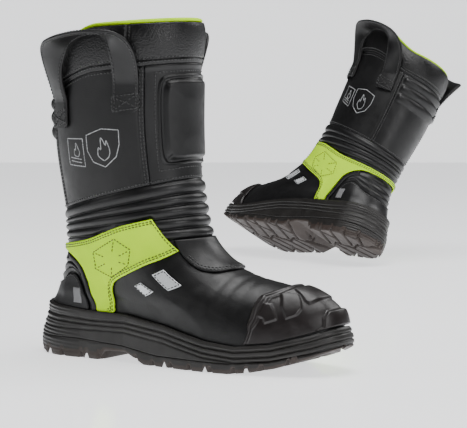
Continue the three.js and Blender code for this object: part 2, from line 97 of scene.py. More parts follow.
# ---- Foot leather ----
# The vamp is one piece of waxed full-grain leather, drawn over a last and tucked into the sole all round.
# It is given here with the last that all other pieces are laid on, and with the leather that most of them
# share.
STATIONS = np.array([  # front y, front z, back y, back z, half width, roundness, foot share, sag, inset, dip
    [157, 302, 15, 292, 56, 1.00, 0.00, 0, 0, 24],    # rim
    [156, 266, 13, 249, 56, 1.00, 0.00, 0, 0, 14],    # collar seam
    [155, 214, 15, 186, 55, 1.00, 0.00, 0, 0, 0],
    [158, 164, 24, 131, 51, 1.00, 0.00, 0, 0, 0],    # top of the bellows
    [163, 137, 25, 115, 49, 1.00, 0.10, 0, 0, 0],
    [171, 112, 25, 99, 47, 1.00, 0.25, 0, 0, 0],     # foot of the bellows
    [190, 92, 25, 84, 46, 0.95, 0.45, -1, -1, 0],
    [217, 80, 21, 71, 46, 0.90, 0.70, -3, -3, 0],
    [246, 74, 17, 61, 47, 0.86, 0.85, -4, -5, 0],
    [276, 68, 14, 54, 47, 0.83, 0.95, -4, -7, 0],
    [298, 55, 11, 49, 47, 0.80, 1.00, -2, -8, 0],
    [304, 39, 9, 46, 47, 0.78, 1.00, 0, -8, 0],      # feather line
    [304, 32, 9, 39, 47, 0.78, 1.00, 0, -8, 0],
], float)
FEATHER_SHARE = np.array([0, 0, 0, 0, 0, 0, 0.05, 0.2, 0.4, 0.65, 0.85, 1, 1])
ALONG = [-1, -0.82, -0.65, -0.315, 0.02, 0.29, 0.52, 0.725, 0.9, 1]
LATERAL = [1.12, 1.1, 0.96, 0.84, 0.94, 1.06, 1.11, 1.09, 1.03, 1]
MEDIAL = [1.1, 1.07, 0.92, 0.72, 0.82, 0.98, 1.08, 1.08, 1.03, 1]
FEATHER = np.array([[9, 46], [38, 44], [68, 42], [112, 41], [156, 35], [201, 25], [230, 22], [260, 25],
                    [289, 33], [304, 39]], float)


def smooth_step(low, high, x):
    """Rises from 0 at low to 1 at high with level ends."""
    t = np.clip((x - low) / (high - low), 0, 1)
    return t * t * (3 - 2 * t)


def catmull(values, t):
    """Catmull-Rom curve through values at whole numbers: a cubic in the fraction f from the four nearest."""
    t = np.clip(np.asarray(t, float), 0, len(values) - 1)
    i = np.minimum(t.astype(int), len(values) - 2)
    f = t - i
    before, start = values[np.maximum(i - 1, 0)], values[i]
    end, after = values[i + 1], values[np.minimum(i + 2, len(values) - 1)]
    cubic = (2 * before - 5 * start + 4 * end - after) * f**2 + (3 * start - before - 3 * end + after) * f**3
    return 0.5 * (2 * start + (end - before) * f + cubic)


def feather(y):
    """Height of the line where the upper meets the sole, along the foot."""
    return np.interp(y, *FEATHER.T)


def last(angle, station):
    """Surface of the last: each station is a tilted ellipse, angle 0 at its front and 180 at its back. Its half
    width is squared off by a power of the sine and shaped by the foot's outline further down."""
    angle, station = np.broadcast_arrays(np.asarray(angle, float), np.asarray(station, float))
    cos, sin = np.cos(np.radians(angle)), np.sin(np.radians(angle))
    front_y, front_z, back_y, back_z, half, roundness, foot, sag, inset, dip = (
        catmull(column, station) for column in STATIONS.T)
    y = (front_y + back_y) / 2 + (front_y - back_y) / 2 * cos
    z = (front_z + back_z) / 2 + (front_z - back_z) / 2 * cos + sag * sin**2
    z += catmull(FEATHER_SHARE, station) * (feather(156.5 + 147.5 * cos) - (42.5 - 3.5 * cos))
    z -= dip * smooth_step(85, 145, np.abs((angle + 180) % 360 - 180))
    outer = 0.5 + 0.5 * np.tanh(sin * 8)
    outline = np.interp(cos, ALONG, LATERAL) * outer + np.interp(cos, ALONG, MEDIAL) * (1 - outer)
    reach = np.sign(sin) * np.abs(sin) ** roundness
    x = half * reach * (1 + foot * (outline - 1)) + inset * np.clip((cos + 0.2) / 1.2, 0, 1) ** 2
    return np.stack([x, y, z], -1)


def unit(vectors):
    """Vectors scaled to length one."""
    return vectors / np.maximum(np.linalg.norm(vectors, axis=-1, keepdims=True), 1e-9)


def normal(angle, station):
    """Outward normal of the last: round the leg crossed with down the leg."""
    angle, station = np.asarray(angle, float), np.asarray(station, float)
    across = last(angle + 2, station) - last(angle - 2, station)
    down = last(angle, station + 0.08) - last(angle, station - 0.08)
    return unit(np.cross(across, down))


def laid(angle, station, offset):
    """Point of the last lifted along its normal by offset millimetres."""
    return last(angle, station) + normal(angle, station) * np.asarray(offset, float)[..., None]


def grid_faces(rows, columns, close_columns=False, close_rows=False, start=0):
    """Quads of a rows by columns grid of points, joined end to start where closed."""
    r = np.arange(rows if close_rows else rows - 1)[:, None]
    c = np.arange(columns if close_columns else columns - 1)[None, :]
    r2, c2 = (r + 1) % rows, (c + 1) % columns
    quads = np.stack([r * columns + c, r * columns + c2, r2 * columns + c2, r2 * columns + c], -1)
    return quads.reshape(-1, 4) + start


def build(name, points, faces, side, smooth=True):
    """Makes the mesh object of one boot: places the points, drops collapsed faces, and turns all faces outward
    by the sign of the closed volume."""
    where = placed(points, side)
    mesh = bpy.data.meshes.new(side + "_" + name)
    mesh.from_pydata(where.tolist(), [], np.asarray(faces).tolist())
    mesh.validate()
    a, b, c = where[faces[:, 0]], where[faces[:, 1]], where[faces[:, 2]]
    volume = np.einsum("ij,ij->i", a, np.cross(b, c)).sum()
    if faces.shape[1] == 4:
        d = where[faces[:, 3]]
        volume += np.einsum("ij,ij->i", a, np.cross(c, d)).sum()
    if volume < 0:
        mesh.flip_normals()
    mesh.polygons.foreach_set("use_smooth", np.full(len(mesh.polygons), smooth))
    piece = bpy.data.objects.new(side + "_" + name, mesh)
    bpy.context.collection.objects.link(piece)
    return piece


def both(name, points, faces, material, body="feet", nodes=(), slot="black_leather", padded=None, smooth=True):
    """Makes a piece for each boot, gives it its material, hangs it on the body it rides on and hides the
    frame's parts that it stands for. A body other than the feet is named without its side."""
    made = []
    for side in PLACING:
        piece = build(name, points, faces, side, smooth)
        piece.data.materials.append(material)
        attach(piece, body if body == "feet" else side + "_" + body)
        if nodes:
            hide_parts(*(side + "_" + node for node in nodes))
        made.append(piece)
    return made


def sleeve(outer_angle, outer_station, outer_offset, inner_offset):
    """A closed ring of leather: the outer face goes down the leg, the inner face back up the same rows."""
    outer = laid(outer_angle, outer_station, outer_offset)
    inner = laid(outer_angle, outer_station, np.broadcast_to(inner_offset, outer_angle.shape))
    points = np.concatenate([outer, inner[::-1]], 0)
    faces = grid_faces(points.shape[0], points.shape[1], close_columns=True, close_rows=True)
    return points.reshape(-1, 3), faces


def ring_grid(stations, columns):
    """Angles and stations of a full ring, one row for each station."""
    angles = np.arange(columns) * 360 / columns
    return np.broadcast_arrays(angles[None, :], np.asarray(stations, float)[:, None])


def shader(name, color, roughness, metallic=0.0, **sockets):
    """A new material and its principled shader with plain values set on the shader's own sockets."""
    material = bpy.data.materials.new(name)
    material.use_nodes = True
    tree = material.node_tree
    principled = tree.nodes["Principled BSDF"]
    principled.inputs["Base Color"].default_value = (*color, 1)
    principled.inputs["Roughness"].default_value = roughness
    principled.inputs["Metallic"].default_value = metallic
    for socket, value in sockets.items():
        principled.inputs[socket.replace("_", " ").title().replace("Ior", "IOR")].default_value = value
    return material, tree, principled


def place_node(tree):
    """The Object coordinate output, in metres."""
    return tree.nodes.new("ShaderNodeTexCoord").outputs["Object"]


def noise(tree, scale, detail=3.0, roughness=0.55):
    """A noise texture on Object coordinates; scale is in cells to the metre."""
    node = tree.nodes.new("ShaderNodeTexNoise")
    node.inputs["Scale"].default_value = scale
    node.inputs["Detail"].default_value = detail
    node.inputs["Roughness"].default_value = roughness
    tree.links.new(place_node(tree), node.inputs["Vector"])
    return node.outputs["Fac"]


def pebbles(tree, scale, feature="F1"):
    """Voronoi cells on Object coordinates, the pores and pebbles of leather or rubber."""
    node = tree.nodes.new("ShaderNodeTexVoronoi")
    node.feature = feature
    node.inputs["Scale"].default_value = scale
    tree.links.new(place_node(tree), node.inputs["Vector"])
    return node.outputs["Distance"]


def ramp(tree, value, stops):
    """A colour ramp of (position, colour) stops read at value."""
    node = tree.nodes.new("ShaderNodeValToRGB")
    elements = node.color_ramp.elements
    while len(elements) < len(stops):
        elements.new(0.5)
    for element, (position, color) in zip(elements, stops):
        element.position = position
        element.color = (*color, 1)
    tree.links.new(value, node.inputs["Fac"])
    return node.outputs["Color"]


def grey(value):
    """A neutral colour of that value."""
    return (value, value, value)


def paint(tree, principled, value, stops, socket="Base Color"):
    """Drives a socket of the shader by a colour ramp read at value."""
    tree.links.new(ramp(tree, value, stops), principled.inputs[socket])


def bump(tree, principled, heights):
    """Chains bump nodes: each (height output, strength, distance in metres) roughens the last."""
    chained = None
    for height, strength, distance in heights:
        node = tree.nodes.new("ShaderNodeBump")
        node.inputs["Strength"].default_value = strength
        node.inputs["Distance"].default_value = distance
        tree.links.new(height, node.inputs["Height"])
        if chained:
            tree.links.new(chained, node.inputs["Normal"])
        chained = node.outputs["Normal"]
    tree.links.new(chained, principled.inputs["Normal"])


def leather(name, color, grain, grain_depth, roughness, scuff=0.35):
    """Dyed leather: pores from Voronoi cells, soft creases and mottled dye from noise, gloss that wanders."""
    material, tree, principled = shader(name, color, roughness, specular_ior_level=0.36)
    worn = noise(tree, 38, 5)
    light = tuple(c * (1 + scuff) + 0.001 for c in color)
    dark = tuple(c * 0.75 for c in color)
    paint(tree, principled, worn, [(0.3, dark), (0.5, color), (0.72, light)])
    gloss = [(0.25, grey(roughness - 0.08)), (0.75, grey(roughness + 0.1))]
    paint(tree, principled, noise(tree, 120, 4), gloss, "Roughness")
    bump(tree, principled, [(pebbles(tree, grain), 0.6, grain_depth), (noise(tree, 45, 3), 0.25, 0.0005)])
    return material


BLACK_LEATHER = leather("black_leather", (0.0048, 0.0047, 0.005), 1000, 0.00010, 0.4)

vamp_angle, vamp_station = ring_grid(np.linspace(5.0, 11.7, 84), 264)
crease_at = last(vamp_angle, vamp_station)
# Shallow flex creases cross the vamp behind the toe bumper, and fade down its sides.
flex = np.exp(-((crease_at[..., 1] - 214) / 20) ** 2) * np.clip((crease_at[..., 2] - 45) / 30, 0, 1)
vamp_lift = -0.5 * flex * (0.5 + 0.5 * np.sin(crease_at[..., 1] * 0.55 + crease_at[..., 0] * 0.08))
both("vamp", *sleeve(vamp_angle, vamp_station, vamp_lift, -2.4), BLACK_LEATHER, nodes=["vamp"])

# ---- Sole ----
# Dual-density sole: a midsole side wall moulded with running grooves, over a dark brown rubber outsole.
# The outsole's heel and forefoot carry slanted cleats five millimetres deep, and its arch is raised.
SOLE_EDGE = 5
GROUND = np.array([[-6, 6], [3, 3], [14, 0], [225, 0], [245, 2.3], [265, 6.5], [290, 14.8], [314, 25]], float)
SPLIT = np.array([[0, 18], [60, 18], [110, 15], [150, 10], [225, 9.5], [260, 13], [290, 21], [312, 30]], float)
SOLE_COLUMNS = 720


def foot_rim(angle):
    """Points of the line where the upper meets the sole, and the level directions out of it."""
    run = unit((last(angle + 2, 11.0) - last(angle - 2, 11.0)) * [1, 1, 0])
    return last(angle, 11.0), np.stack([-run[:, 1], run[:, 0], 0 * angle], -1)


edge_point, edge_out = foot_rim(np.arange(SOLE_COLUMNS) * 360 / SOLE_COLUMNS)
heel_share = np.clip((70 - edge_point[:, 1]) / 60, 0, 1) ** 1.5
toe_share = np.clip((edge_point[:, 1] - 262) / 40, 0, 1)


def wall_out(y, depth_below_lip, column):
    """How far the side wall stands out from the feather line: a lip, three grooves that spread towards the
    heel, and a flare that widens the heel towards the floor."""
    heel = heel_share[column]
    out = SOLE_EDGE - 1.2 * np.exp(-(depth_below_lip / 1.3) ** 2)
    groove_depths = np.stack([np.interp(y, [0, 80, 150, 230, 300], row) for row in (
        [9, 8.5, 6, 4.7, 5], [15, 12.5, 10.5, 9.8, 10.5], [22, 17, 15, 13.4, 15.5])])
    for k, depth in enumerate((1.5, 1.4, 1.1)):
        out = out - depth * np.exp(-((depth_below_lip - groove_depths[k]) / 0.75) ** 2)
    out = out + heel * (7 * smooth_step(2, 34, depth_below_lip) + 0.9 * np.sin(depth_below_lip * 0.95) ** 2)
    return out + 3.0 * toe_share[column] * smooth_step(-2, 12, depth_below_lip)


def rubber(name, color, grain, roughness):
    """Moulded rubber: matt, faintly pebbled by the mould, with dusty lighter patches."""
    material, tree, principled = shader(name, color, roughness, specular_ior_level=0.42)
    dust = tuple(c * 1.5 + 0.004 for c in color)
    paint(tree, principled, noise(tree, 30, 6), [(0.35, color), (0.75, dust)])
    gloss = [(0.3, grey(roughness - 0.1)), (0.7, grey(roughness + 0.1))]
    paint(tree, principled, noise(tree, 90, 3), gloss, "Roughness")
    bump(tree, principled, [(noise(tree, grain, 3), 0.35, 0.00025)])
    return material


MIDSOLE_RUBBER = rubber("midsole_rubber", (0.0085, 0.0075, 0.0068), 1500, 0.46)
OUTSOLE_RUBBER = rubber("outsole_rubber", (0.022, 0.0145, 0.0115), 1200, 0.55)


def sole_ring(outs, heights):
    """Rows of points round the sole: the feather outline moved out by outs, at heights."""
    flat = edge_point * [1, 1, 0]
    return flat + edge_out * outs[..., None] + np.stack([0 * heights, 0 * heights, heights], -1)


lip_height = feather(edge_point[:, 1]) + 2.0
split_height = np.interp(edge_point[:, 1], *SPLIT.T)
wall_share = np.linspace(0, 1, 46)[:, None]
wall_height = lip_height - wall_share * (lip_height - split_height)
wall_offset = wall_out(edge_point[:, 1][None, :], lip_height - wall_height, np.arange(SOLE_COLUMNS)[None, :])
inner_rows = [(0.4, lip_height - 7), (0.4, lip_height - 1.2), (1.2, lip_height - 0.3)]
rows = [sole_ring(np.full(SOLE_COLUMNS, out), height) for out, height in inner_rows]
rows += list(sole_ring(wall_offset, wall_height))
rows.append(sole_ring(np.full(SOLE_COLUMNS, -16.0), split_height))
midsole_points = np.stack(rows)
midsole_faces = grid_faces(len(rows), SOLE_COLUMNS, close_columns=True, close_rows=True)
both("midsole", midsole_points.reshape(-1, 3), midsole_faces, MIDSOLE_RUBBER, nodes=["midsole"],
     slot="sole_rubber")

ARCH = np.array([[84, 0], [88, 9], [112, 9.5], [134, 0]], float)
CLEAT_DEPTH = 5.0


def cleat_gap(x, y):
    """1 in the gaps between cleats and 0 on them: slanted channels, a zigzag down the middle, and second
    channels that cross them away from the middle."""
    side = np.where(x > -2, 1.0, -1.0)
    slanted = (y + side * 0.45 * x) / 21.5 + 0.25 * side
    near_channel = np.abs(slanted - np.round(slanted)) * 21.5 / 1.1
    zigzag = np.abs(x + 3 + 7 * (np.abs((y / 21.5) % 2 - 1) * 2 - 1))
    second = (y - side * 0.7 * x) / 43 + 0.1
    cross = np.abs(second - np.round(second)) * 43 / 1.22
    cross = np.where(np.abs(x + 3) > 20, cross, 9)
    gap = np.minimum(np.minimum(near_channel, zigzag), cross)
    return 1 - smooth_step(1.3, 2.3, gap)


def sole_bottom(x, y):
    """Height of the outsole's lower face: the ground line, lifted at the arch and in the gaps of the tread."""
    arch = np.interp(y, *ARCH.T)
    gap = cleat_gap(x, y) * CLEAT_DEPTH * (1 - smooth_step(2, 8, arch))
    return np.interp(y, *GROUND.T) + arch + gap


lower_share = np.linspace(0, 1, 20)[:, None]
flat_low = sole_ring(wall_out(edge_point[:, 1], lip_height - 3, np.arange(SOLE_COLUMNS)), 0 * lip_height)
bottom_edge = sole_bottom(flat_low[:, 0], flat_low[:, 1])
lower_height = (split_height - 0.3) + lower_share * (bottom_edge - split_height + 0.3)
depth_below = lip_height - lower_height
lower_offset = wall_out(edge_point[:, 1][None, :], depth_below, np.arange(SOLE_COLUMNS)[None, :])
lower_offset = lower_offset - 0.8 * np.exp(-(lower_share * 14) ** 2) - 1.2 * lower_share**8
outer_rows = sole_ring(lower_offset, lower_height)
ACROSS = 64
half_columns = SOLE_COLUMNS // 2 + 1
left_rim = outer_rows[-1][(-np.arange(half_columns)) % SOLE_COLUMNS]
right_rim = outer_rows[-1][:half_columns]
share = np.linspace(0, 1, ACROSS)[None, :, None]
bottom_face = left_rim[:, None] * (1 - share) + right_rim[:, None] * share
inside = bottom_face[:, 1:-1]
bottom_face[:, 1:-1, 2] = sole_bottom(inside[..., 0], inside[..., 1])
top_left = outer_rows[0][(-np.arange(half_columns)) % SOLE_COLUMNS]
top_right = outer_rows[0][:half_columns]
top_face = top_left[:, None] * (1 - share) + top_right[:, None] * share


def merged(piece):
    """Joins the points of a mesh that lie together and turns its faces outward."""
    mesh = bmesh.new()
    mesh.from_mesh(piece.data)
    bmesh.ops.remove_doubles(mesh, verts=mesh.verts, dist=1e-6)
    bmesh.ops.dissolve_degenerate(mesh, edges=mesh.edges, dist=1e-7)
    bmesh.ops.recalc_face_normals(mesh, faces=mesh.faces)
    mesh.to_mesh(piece.data)
    mesh.free()
    piece.data.update()
    return piece


wall_faces = grid_faces(len(outer_rows), SOLE_COLUMNS, close_columns=True)
wall_count = outer_rows.size // 3
bottom_faces = grid_faces(half_columns, ACROSS, start=wall_count)
top_faces = grid_faces(half_columns, ACROSS, start=wall_count + bottom_face.size // 3)
outsole_points = np.concatenate([part.reshape(-1, 3) for part in (outer_rows, bottom_face, top_face)])
outsole_faces = np.concatenate([wall_faces, bottom_faces, top_faces[:, ::-1]])
DARK_ROWS = 11  # rows of the wall, from its top, in the midsole's colour
tread = np.ones(len(outsole_faces), int)
tread[: DARK_ROWS * SOLE_COLUMNS] = 0
for piece in both("outsole", outsole_points, outsole_faces, MIDSOLE_RUBBER, nodes=["outsole"],
                  slot="sole_rubber"):
    piece.data.materials.append(OUTSOLE_RUBBER)
    piece.data.polygons.foreach_set("material_index", tread)
    merged(piece)

# ---- Sewn pieces of the foot ----
# Ankle band, heel cap, padded heel strip, instep guard and reflective tabs: cut leather and film, edges turned
# and sewn down with double rows of thread. The toe bumper is moulded rubber with raised blocks, bonded on.


def polyline(points, count):
    """Points spaced evenly over the last along straight runs through [angle, station] corners."""
    points = np.asarray(points, float)
    steps = np.linalg.norm(np.diff(last(points[:, 0], points[:, 1]), axis=0), axis=1)
    run = np.concatenate([[0], np.cumsum(steps)])
    at = np.linspace(0, run[-1], count)
    return np.stack([np.interp(at, run, points[:, 0]), np.interp(at, run, points[:, 1])], -1)


def curve(points, count):
    """Points spaced evenly over the last along a Catmull-Rom curve through [angle, station] corners."""
    points = np.asarray(points, float)
    fine = np.linspace(0, len(points) - 1, 40 * (len(points) - 1) + 1)
    return polyline(np.stack([catmull(points[:, 0], fine), catmull(points[:, 1], fine)], -1), count)


def at_station(start, end, station, count):
    """A path from one angle to another, all at one station."""
    return np.stack([np.linspace(start, end, count), np.full(count, station)], -1)


def over_front(path):
    """A path from the side to the front, carried on to the other side."""
    return np.concatenate([path, path[::-1][1:] * [-1, 1]])


def edge_spacing(count, length, radius):
    """Shares from 0 to 1 with three extra rows close to each end, where the edge rounds over."""
    near = np.array([0, 0.12, 0.4, 1.0]) * radius / max(length, 4 * radius)
    middle = np.linspace(near[-1], 1 - near[-1], count)[1:-1]
    return np.concatenate([near, middle, 1 - near[::-1]])


def between_edges(first, second, across, radius):
    """Angles and stations of a grid ruled from edge first to edge second, and distances to the nearest edge."""
    first, second = np.asarray(first), np.asarray(second)
    length = np.linalg.norm(np.diff(last(first[:, 0], first[:, 1]), axis=0), axis=1).sum()
    width = np.linalg.norm(last(first[:, 0], first[:, 1]) - last(second[:, 0], second[:, 1]), axis=1)
    v = edge_spacing(across, width.max(), radius)[:, None]
    u = edge_spacing(len(first), length, radius)
    at = u * (len(first) - 1)
    index = np.arange(len(first))
    pick = lambda values: np.interp(at, index, values)
    angle = pick(first[:, 0]) * (1 - v) + pick(second[:, 0]) * v
    station = pick(first[:, 1]) * (1 - v) + pick(second[:, 1]) * v
    wide = pick(width)
    reach = np.minimum(np.minimum(v, 1 - v) * wide, np.minimum(u, 1 - u)[None, :] * length)
    return angle, station, reach


def rounded(reach, radius):
    """Drop of a turned edge: a quarter circle over the last radius millimetres."""
    left = np.clip(1 - reach / radius, 0, 1)
    return radius * (1 - np.sqrt(np.clip(1 - left**2, 0, 1)))


def slab(angle, station, outer, inner):
    """A closed sheet of leather on the last: outer face, inner face, and the wall between them at the rim."""
    rows, columns = angle.shape
    points = np.concatenate([laid(angle, station, outer).reshape(-1, 3),
                             laid(angle, station, np.broadcast_to(inner, angle.shape)).reshape(-1, 3)])
    top = grid_faces(rows, columns)
    under = grid_faces(rows, columns, start=rows * columns)[:, ::-1]
    index = np.arange(rows * columns).reshape(rows, columns)
    rim = np.concatenate([index[0, :], index[1:, -1], index[-1, -2::-1], index[-2:0:-1, 0]])
    after = np.roll(rim, -1)
    wall = np.stack([after, rim, rim + rows * columns, after + rows * columns], -1)
    return points, np.concatenate([top, under, wall])


def sewn(name, first, second, thickness, material, across=24, gap=0.25, radius=0.9, lift=None, **where):
    """Lays a piece between two edges: its outer face rounds down at the rim, and may be raised by
    lift(angle, station, reach), reach being the distance to the nearest edge."""
    angle, station, reach = between_edges(first, second, across, radius)
    outer = gap + thickness - rounded(reach, radius)
    if lift is not None:
        outer = outer + lift(angle, station, reach)
    return both(name, *slab(angle, station, outer, gap), material, **where)


STITCH_PITCH, STITCH_LENGTH, STITCH_RADIUS = 3.3, 2.6, 0.48
ring = np.radians(np.arange(6) * 60)
# A stitch is a short thread: rings at five places along it, thinning and sinking at both ends.
STITCH_RINGS = np.array([[-0.5, 0.35, -0.5], [-0.36, 0.9, 0.15], [0, 1, 0.35], [0.36, 0.9, 0.15],
                         [0.5, 0.35, -0.5]])


def stitch_line(line, up):
    """Points and faces of the threads along a line of points, standing up along the directions up."""
    run = np.concatenate([[0], np.cumsum(np.linalg.norm(np.diff(line, axis=0), axis=1))])
    count = max(int(run[-1] / STITCH_PITCH), 1)
    at = (np.arange(count) + 0.5) * run[-1] / count
    pick = lambda values, where: np.stack([np.interp(where, run, values[:, k]) for k in range(3)], -1)
    centre, above = pick(line, at), unit(pick(up, at))
    along = unit(pick(line, at + 0.5) - pick(line, at - 0.5))
    side = unit(np.cross(above, along))
    above = np.cross(along, side)
    place, size, rise = STITCH_RINGS.T
    body = centre[:, None, None] + along[:, None, None] * (place * STITCH_LENGTH)[None, :, None, None]
    body = body + above[:, None, None] * (rise * STITCH_RADIUS)[None, :, None, None]
    round_it = np.cos(ring)[None, None, :, None] * side[:, None, None]
    round_it = round_it + np.sin(ring)[None, None, :, None] * above[:, None, None]
    body = body + round_it * (size * STITCH_RADIUS)[None, :, None, None]
    rings_in = len(STITCH_RINGS)
    tube = grid_faces(rings_in, 6, close_columns=True)
    caps = np.array([[0, 1, 2, 3], [0, 3, 4, 5]])
    one = np.concatenate([tube, caps[:, ::-1], caps + 6 * (rings_in - 1)])
    faces = (one[None] + (np.arange(count) * 6 * rings_in)[:, None, None]).reshape(-1, 4)
    return body.reshape(-1, 3), faces


def stitches(paths, offset):
    """Threads along several paths over the last, each path a list of [angle, station]."""
    parts = []
    for path in paths:
        path = np.asarray(path, float)
        parts.append(stitch_line(laid(path[:, 0], path[:, 1], np.full(len(path), float(offset))),
                                 normal(path[:, 0], path[:, 1])))
    return joined(parts)


def thread(name, color):
    """Bonded polyester thread: dark and slightly shiny, its ply showing as a fine twist."""
    material, tree, principled = shader(name, color, 0.42, sheen_weight=0.2)
    bump(tree, principled, [(noise(tree, 2600, 2), 0.5, 0.0001)])
    return material


BLACK_THREAD = thread("black_thread", (0.012, 0.012, 0.0125))


def hi_vis():
    """Fluorescent coated leather: even and bright, with fine pores and a trace of soiling in the pores."""
    material, tree, principled = shader("hi_vis_leather", (0.52, 0.86, 0.0), 0.6, specular_ior_level=0.08)
    paint(tree, principled, noise(tree, 25, 4), [(0.3, (0.46, 0.80, 0.0)), (0.7, (0.55, 0.90, 0.0))])
    bump(tree, principled, [(pebbles(tree, 1100), 0.4, 0.0001), (noise(tree, 70, 3), 0.2, 0.0004)])
    return material


HI_VIS = hi_vis()
# Ankle band, lateral half: its upper edge from the front corner to the back, its lower edge with the leg.
BAND_UPPER = [[50.5, 4.17], [64, 4.23], [78, 4.32], [91, 4.48], [105, 4.67], [120, 4.79], [137, 4.85],
              [158, 4.9], [180, 4.92]]
BAND_LOWER = [[38.7, 5.46], [54, 5.72], [70, 5.99], [86, 6.4], [97, 6.78], [102.5, 7.15], [106, 7.7],
              [109.5, 8.6], [112.5, 9.7], [114, 10.7], [121.5, 10.7], [120.8, 9], [120.3, 7.5], [121.2, 6.7],
              [124, 6.1],
              [132, 5.6], [145, 5.3], [162, 5.24], [180, 5.24]]


def round_back(half):
    """A path from front to back on one side, carried on round the other side."""
    return np.concatenate([half, [[360 - a, s] for a, s in half[::-1][1:]]])


BAND_COUNT = 240
band_low = curve(BAND_LOWER, BAND_COUNT)
leg_corner = int(np.argmax(band_low[:, 1]))
upper_fine = curve(BAND_UPPER, 150)
# Angle of the upper edge above each corner of the lower edge: the leg hangs straight down from it.
BAND_ABOVE = [50.5, 64, 78, 91, 100, 103.5, 106, 108.5, 110.5, 112, 119, 119.6, 120.1, 121, 124, 132, 145, 162,
              180]
corner_at = [np.abs((band_low - corner) * [1, 20]).sum(-1).argmin() for corner in BAND_LOWER]
above = np.interp(np.arange(BAND_COUNT), corner_at, BAND_ABOVE)
band_up = np.stack([above, np.interp(above, upper_fine[:, 0], upper_fine[:, 1])], -1)
sewn("hivis_band", round_back(band_up), round_back(band_low), 1.8, HI_VIS, across=20, gap=0.9, radius=0.8,
     nodes=["hivis_band"], slot="hi_vis_leather")


def inset_path(path, distance):
    """Moves a path over the last by a distance in millimetres, to the left of its run seen from outside."""
    path = np.asarray(path, float)
    run = unit(np.gradient(last(path[:, 0], path[:, 1]), axis=0))
    shift = np.cross(normal(path[:, 0], path[:, 1]), run) * distance
    step_angle = (last(path[:, 0] + 1, path[:, 1]) - last(path[:, 0] - 1, path[:, 1])) / 2
    step_station = (last(path[:, 0], path[:, 1] + 0.05) - last(path[:, 0], path[:, 1] - 0.05)) / 0.1
    aa, bb = (step_angle**2).sum(-1), (step_station**2).sum(-1)
    ab = (step_angle * step_station).sum(-1)
    pa, pb = (shift * step_angle).sum(-1), (shift * step_station).sum(-1)
    return path + np.stack([pa * bb - pb * ab, pb * aa - pa * ab], -1) / (aa * bb - ab**2)[:, None]


def both_sides(*paths):
    """The paths and their mirror images on the inner side of the boot."""
    return [np.asarray(p, float) for p in paths] + [np.asarray(p, float) * [-1, 1] for p in paths]


# Two rows of thread inside the band's upper edge, and inside its lower edge.
foot_threads = []
for inset in (2.0, 4.0):
    foot_threads.append((round_back(inset_path(upper_fine, inset)), 2.75))
    foot_threads.append((round_back(inset_path(band_low[2:leg_corner - 4], -inset)), 2.75))
front_edge = polyline([BAND_UPPER[0], [46, 4.6], [41.9, 5.12], BAND_LOWER[0]], 30)
foot_threads += [(p, 2.75) for p in both_sides(inset_path(front_edge, -2.0))]


def ribbon(path, width, offset, height=0.35, closed=False):
    """A thin raised strip of given width along a path on the last, with bevelled sides."""
    left, right = inset_path(path, -width / 2), inset_path(path, width / 2)
    inner_left, inner_right = inset_path(path, -width / 2 + height), inset_path(path, width / 2 - height)
    rows = np.stack([laid(left[:, 0], left[:, 1], np.full(len(path), offset)),
                     laid(inner_left[:, 0], inner_left[:, 1], np.full(len(path), offset + height)),
                     laid(inner_right[:, 0], inner_right[:, 1], np.full(len(path), offset + height)),
                     laid(right[:, 0], right[:, 1], np.full(len(path), offset))])
    count = len(path)
    faces = grid_faces(4, count, close_columns=closed, close_rows=True)
    if not closed:
        ends = np.array([[0, count, 2 * count, 3 * count]])
        faces = np.concatenate([faces, ends[:, ::-1], ends + count - 1])
    return rows.reshape(-1, 3), faces


def joined(parts):
    """Several (points, faces) as one."""
    count, points, faces = 0, [], []
    for part_points, part_faces in parts:
        points.append(part_points)
        faces.append(part_faces + count)
        count += len(part_points)
    return np.concatenate(points), np.concatenate(faces)




def add_threads(name, threads, body="feet"):
    """Sews every (path, height) of threads, as one piece on each boot."""
    both(name, *joined([stitches([path], height) for path, height in threads]), BLACK_THREAD, body=body)


# A stitched hexagon and its six spokes on each side of the band.
HEXAGON = np.array([[106.5, 5.35], [83.1, 4.79], [73.3, 5.29], [81, 5.95], [99.5, 6.62], [110.3, 6.2]], float)
hex_centre = HEXAGON.mean(0)
hex_loop = polyline(np.concatenate([HEXAGON, HEXAGON[:1]]), 90)
spokes = [polyline([corner + (hex_centre - corner) * 0.12, corner + (hex_centre - corner) * 0.62], 12)
          for corner in HEXAGON]
prints = both_sides(hex_loop, *spokes)
both("band_pricking", *stitches(prints, 2.72), BLACK_THREAD)

# Padded crescent behind the leg of the band, heel cup, ribbed heel pad above it and small plain tag.
crescent_inner = band_low[leg_corner + 6:][: int(0.62 * (BAND_COUNT - leg_corner))]
for label, sign in (("lateral", 1), ("medial", -1)):
    edges = [inset_path(crescent_inner, 1.0), inset_path(crescent_inner, 6.6)]
    sewn("crescent_" + label, *(edge * [sign, 1] for edge in edges), 2.6, BLACK_LEATHER, across=16, gap=0.3,
         radius=2.2, padded=0.8)

HEEL_TOP = [[126.8, 10.7], [126.6, 8.9], [127.2, 7.6], [130.5, 6.85], [136, 6.6], [143, 6.75], [150, 7.15],
            [160, 7.45], [170, 7.6], [180, 7.65]]
heel_top = curve(HEEL_TOP, 110)
heel_low = at_station(0, 1, 10.72, 110)
heel_low[:, 0] = np.interp(heel_low[:, 0], [0, 0.16, 1], [127.4, 133, 180])
sewn("heel_cap", round_back(heel_top), round_back(heel_low), 1.8, BLACK_LEATHER, across=20, gap=0.5, radius=1.4,
     nodes=["heel_cap"])
foot_threads.append((round_back(inset_path(heel_top[18:], 2.2)), 2.3))

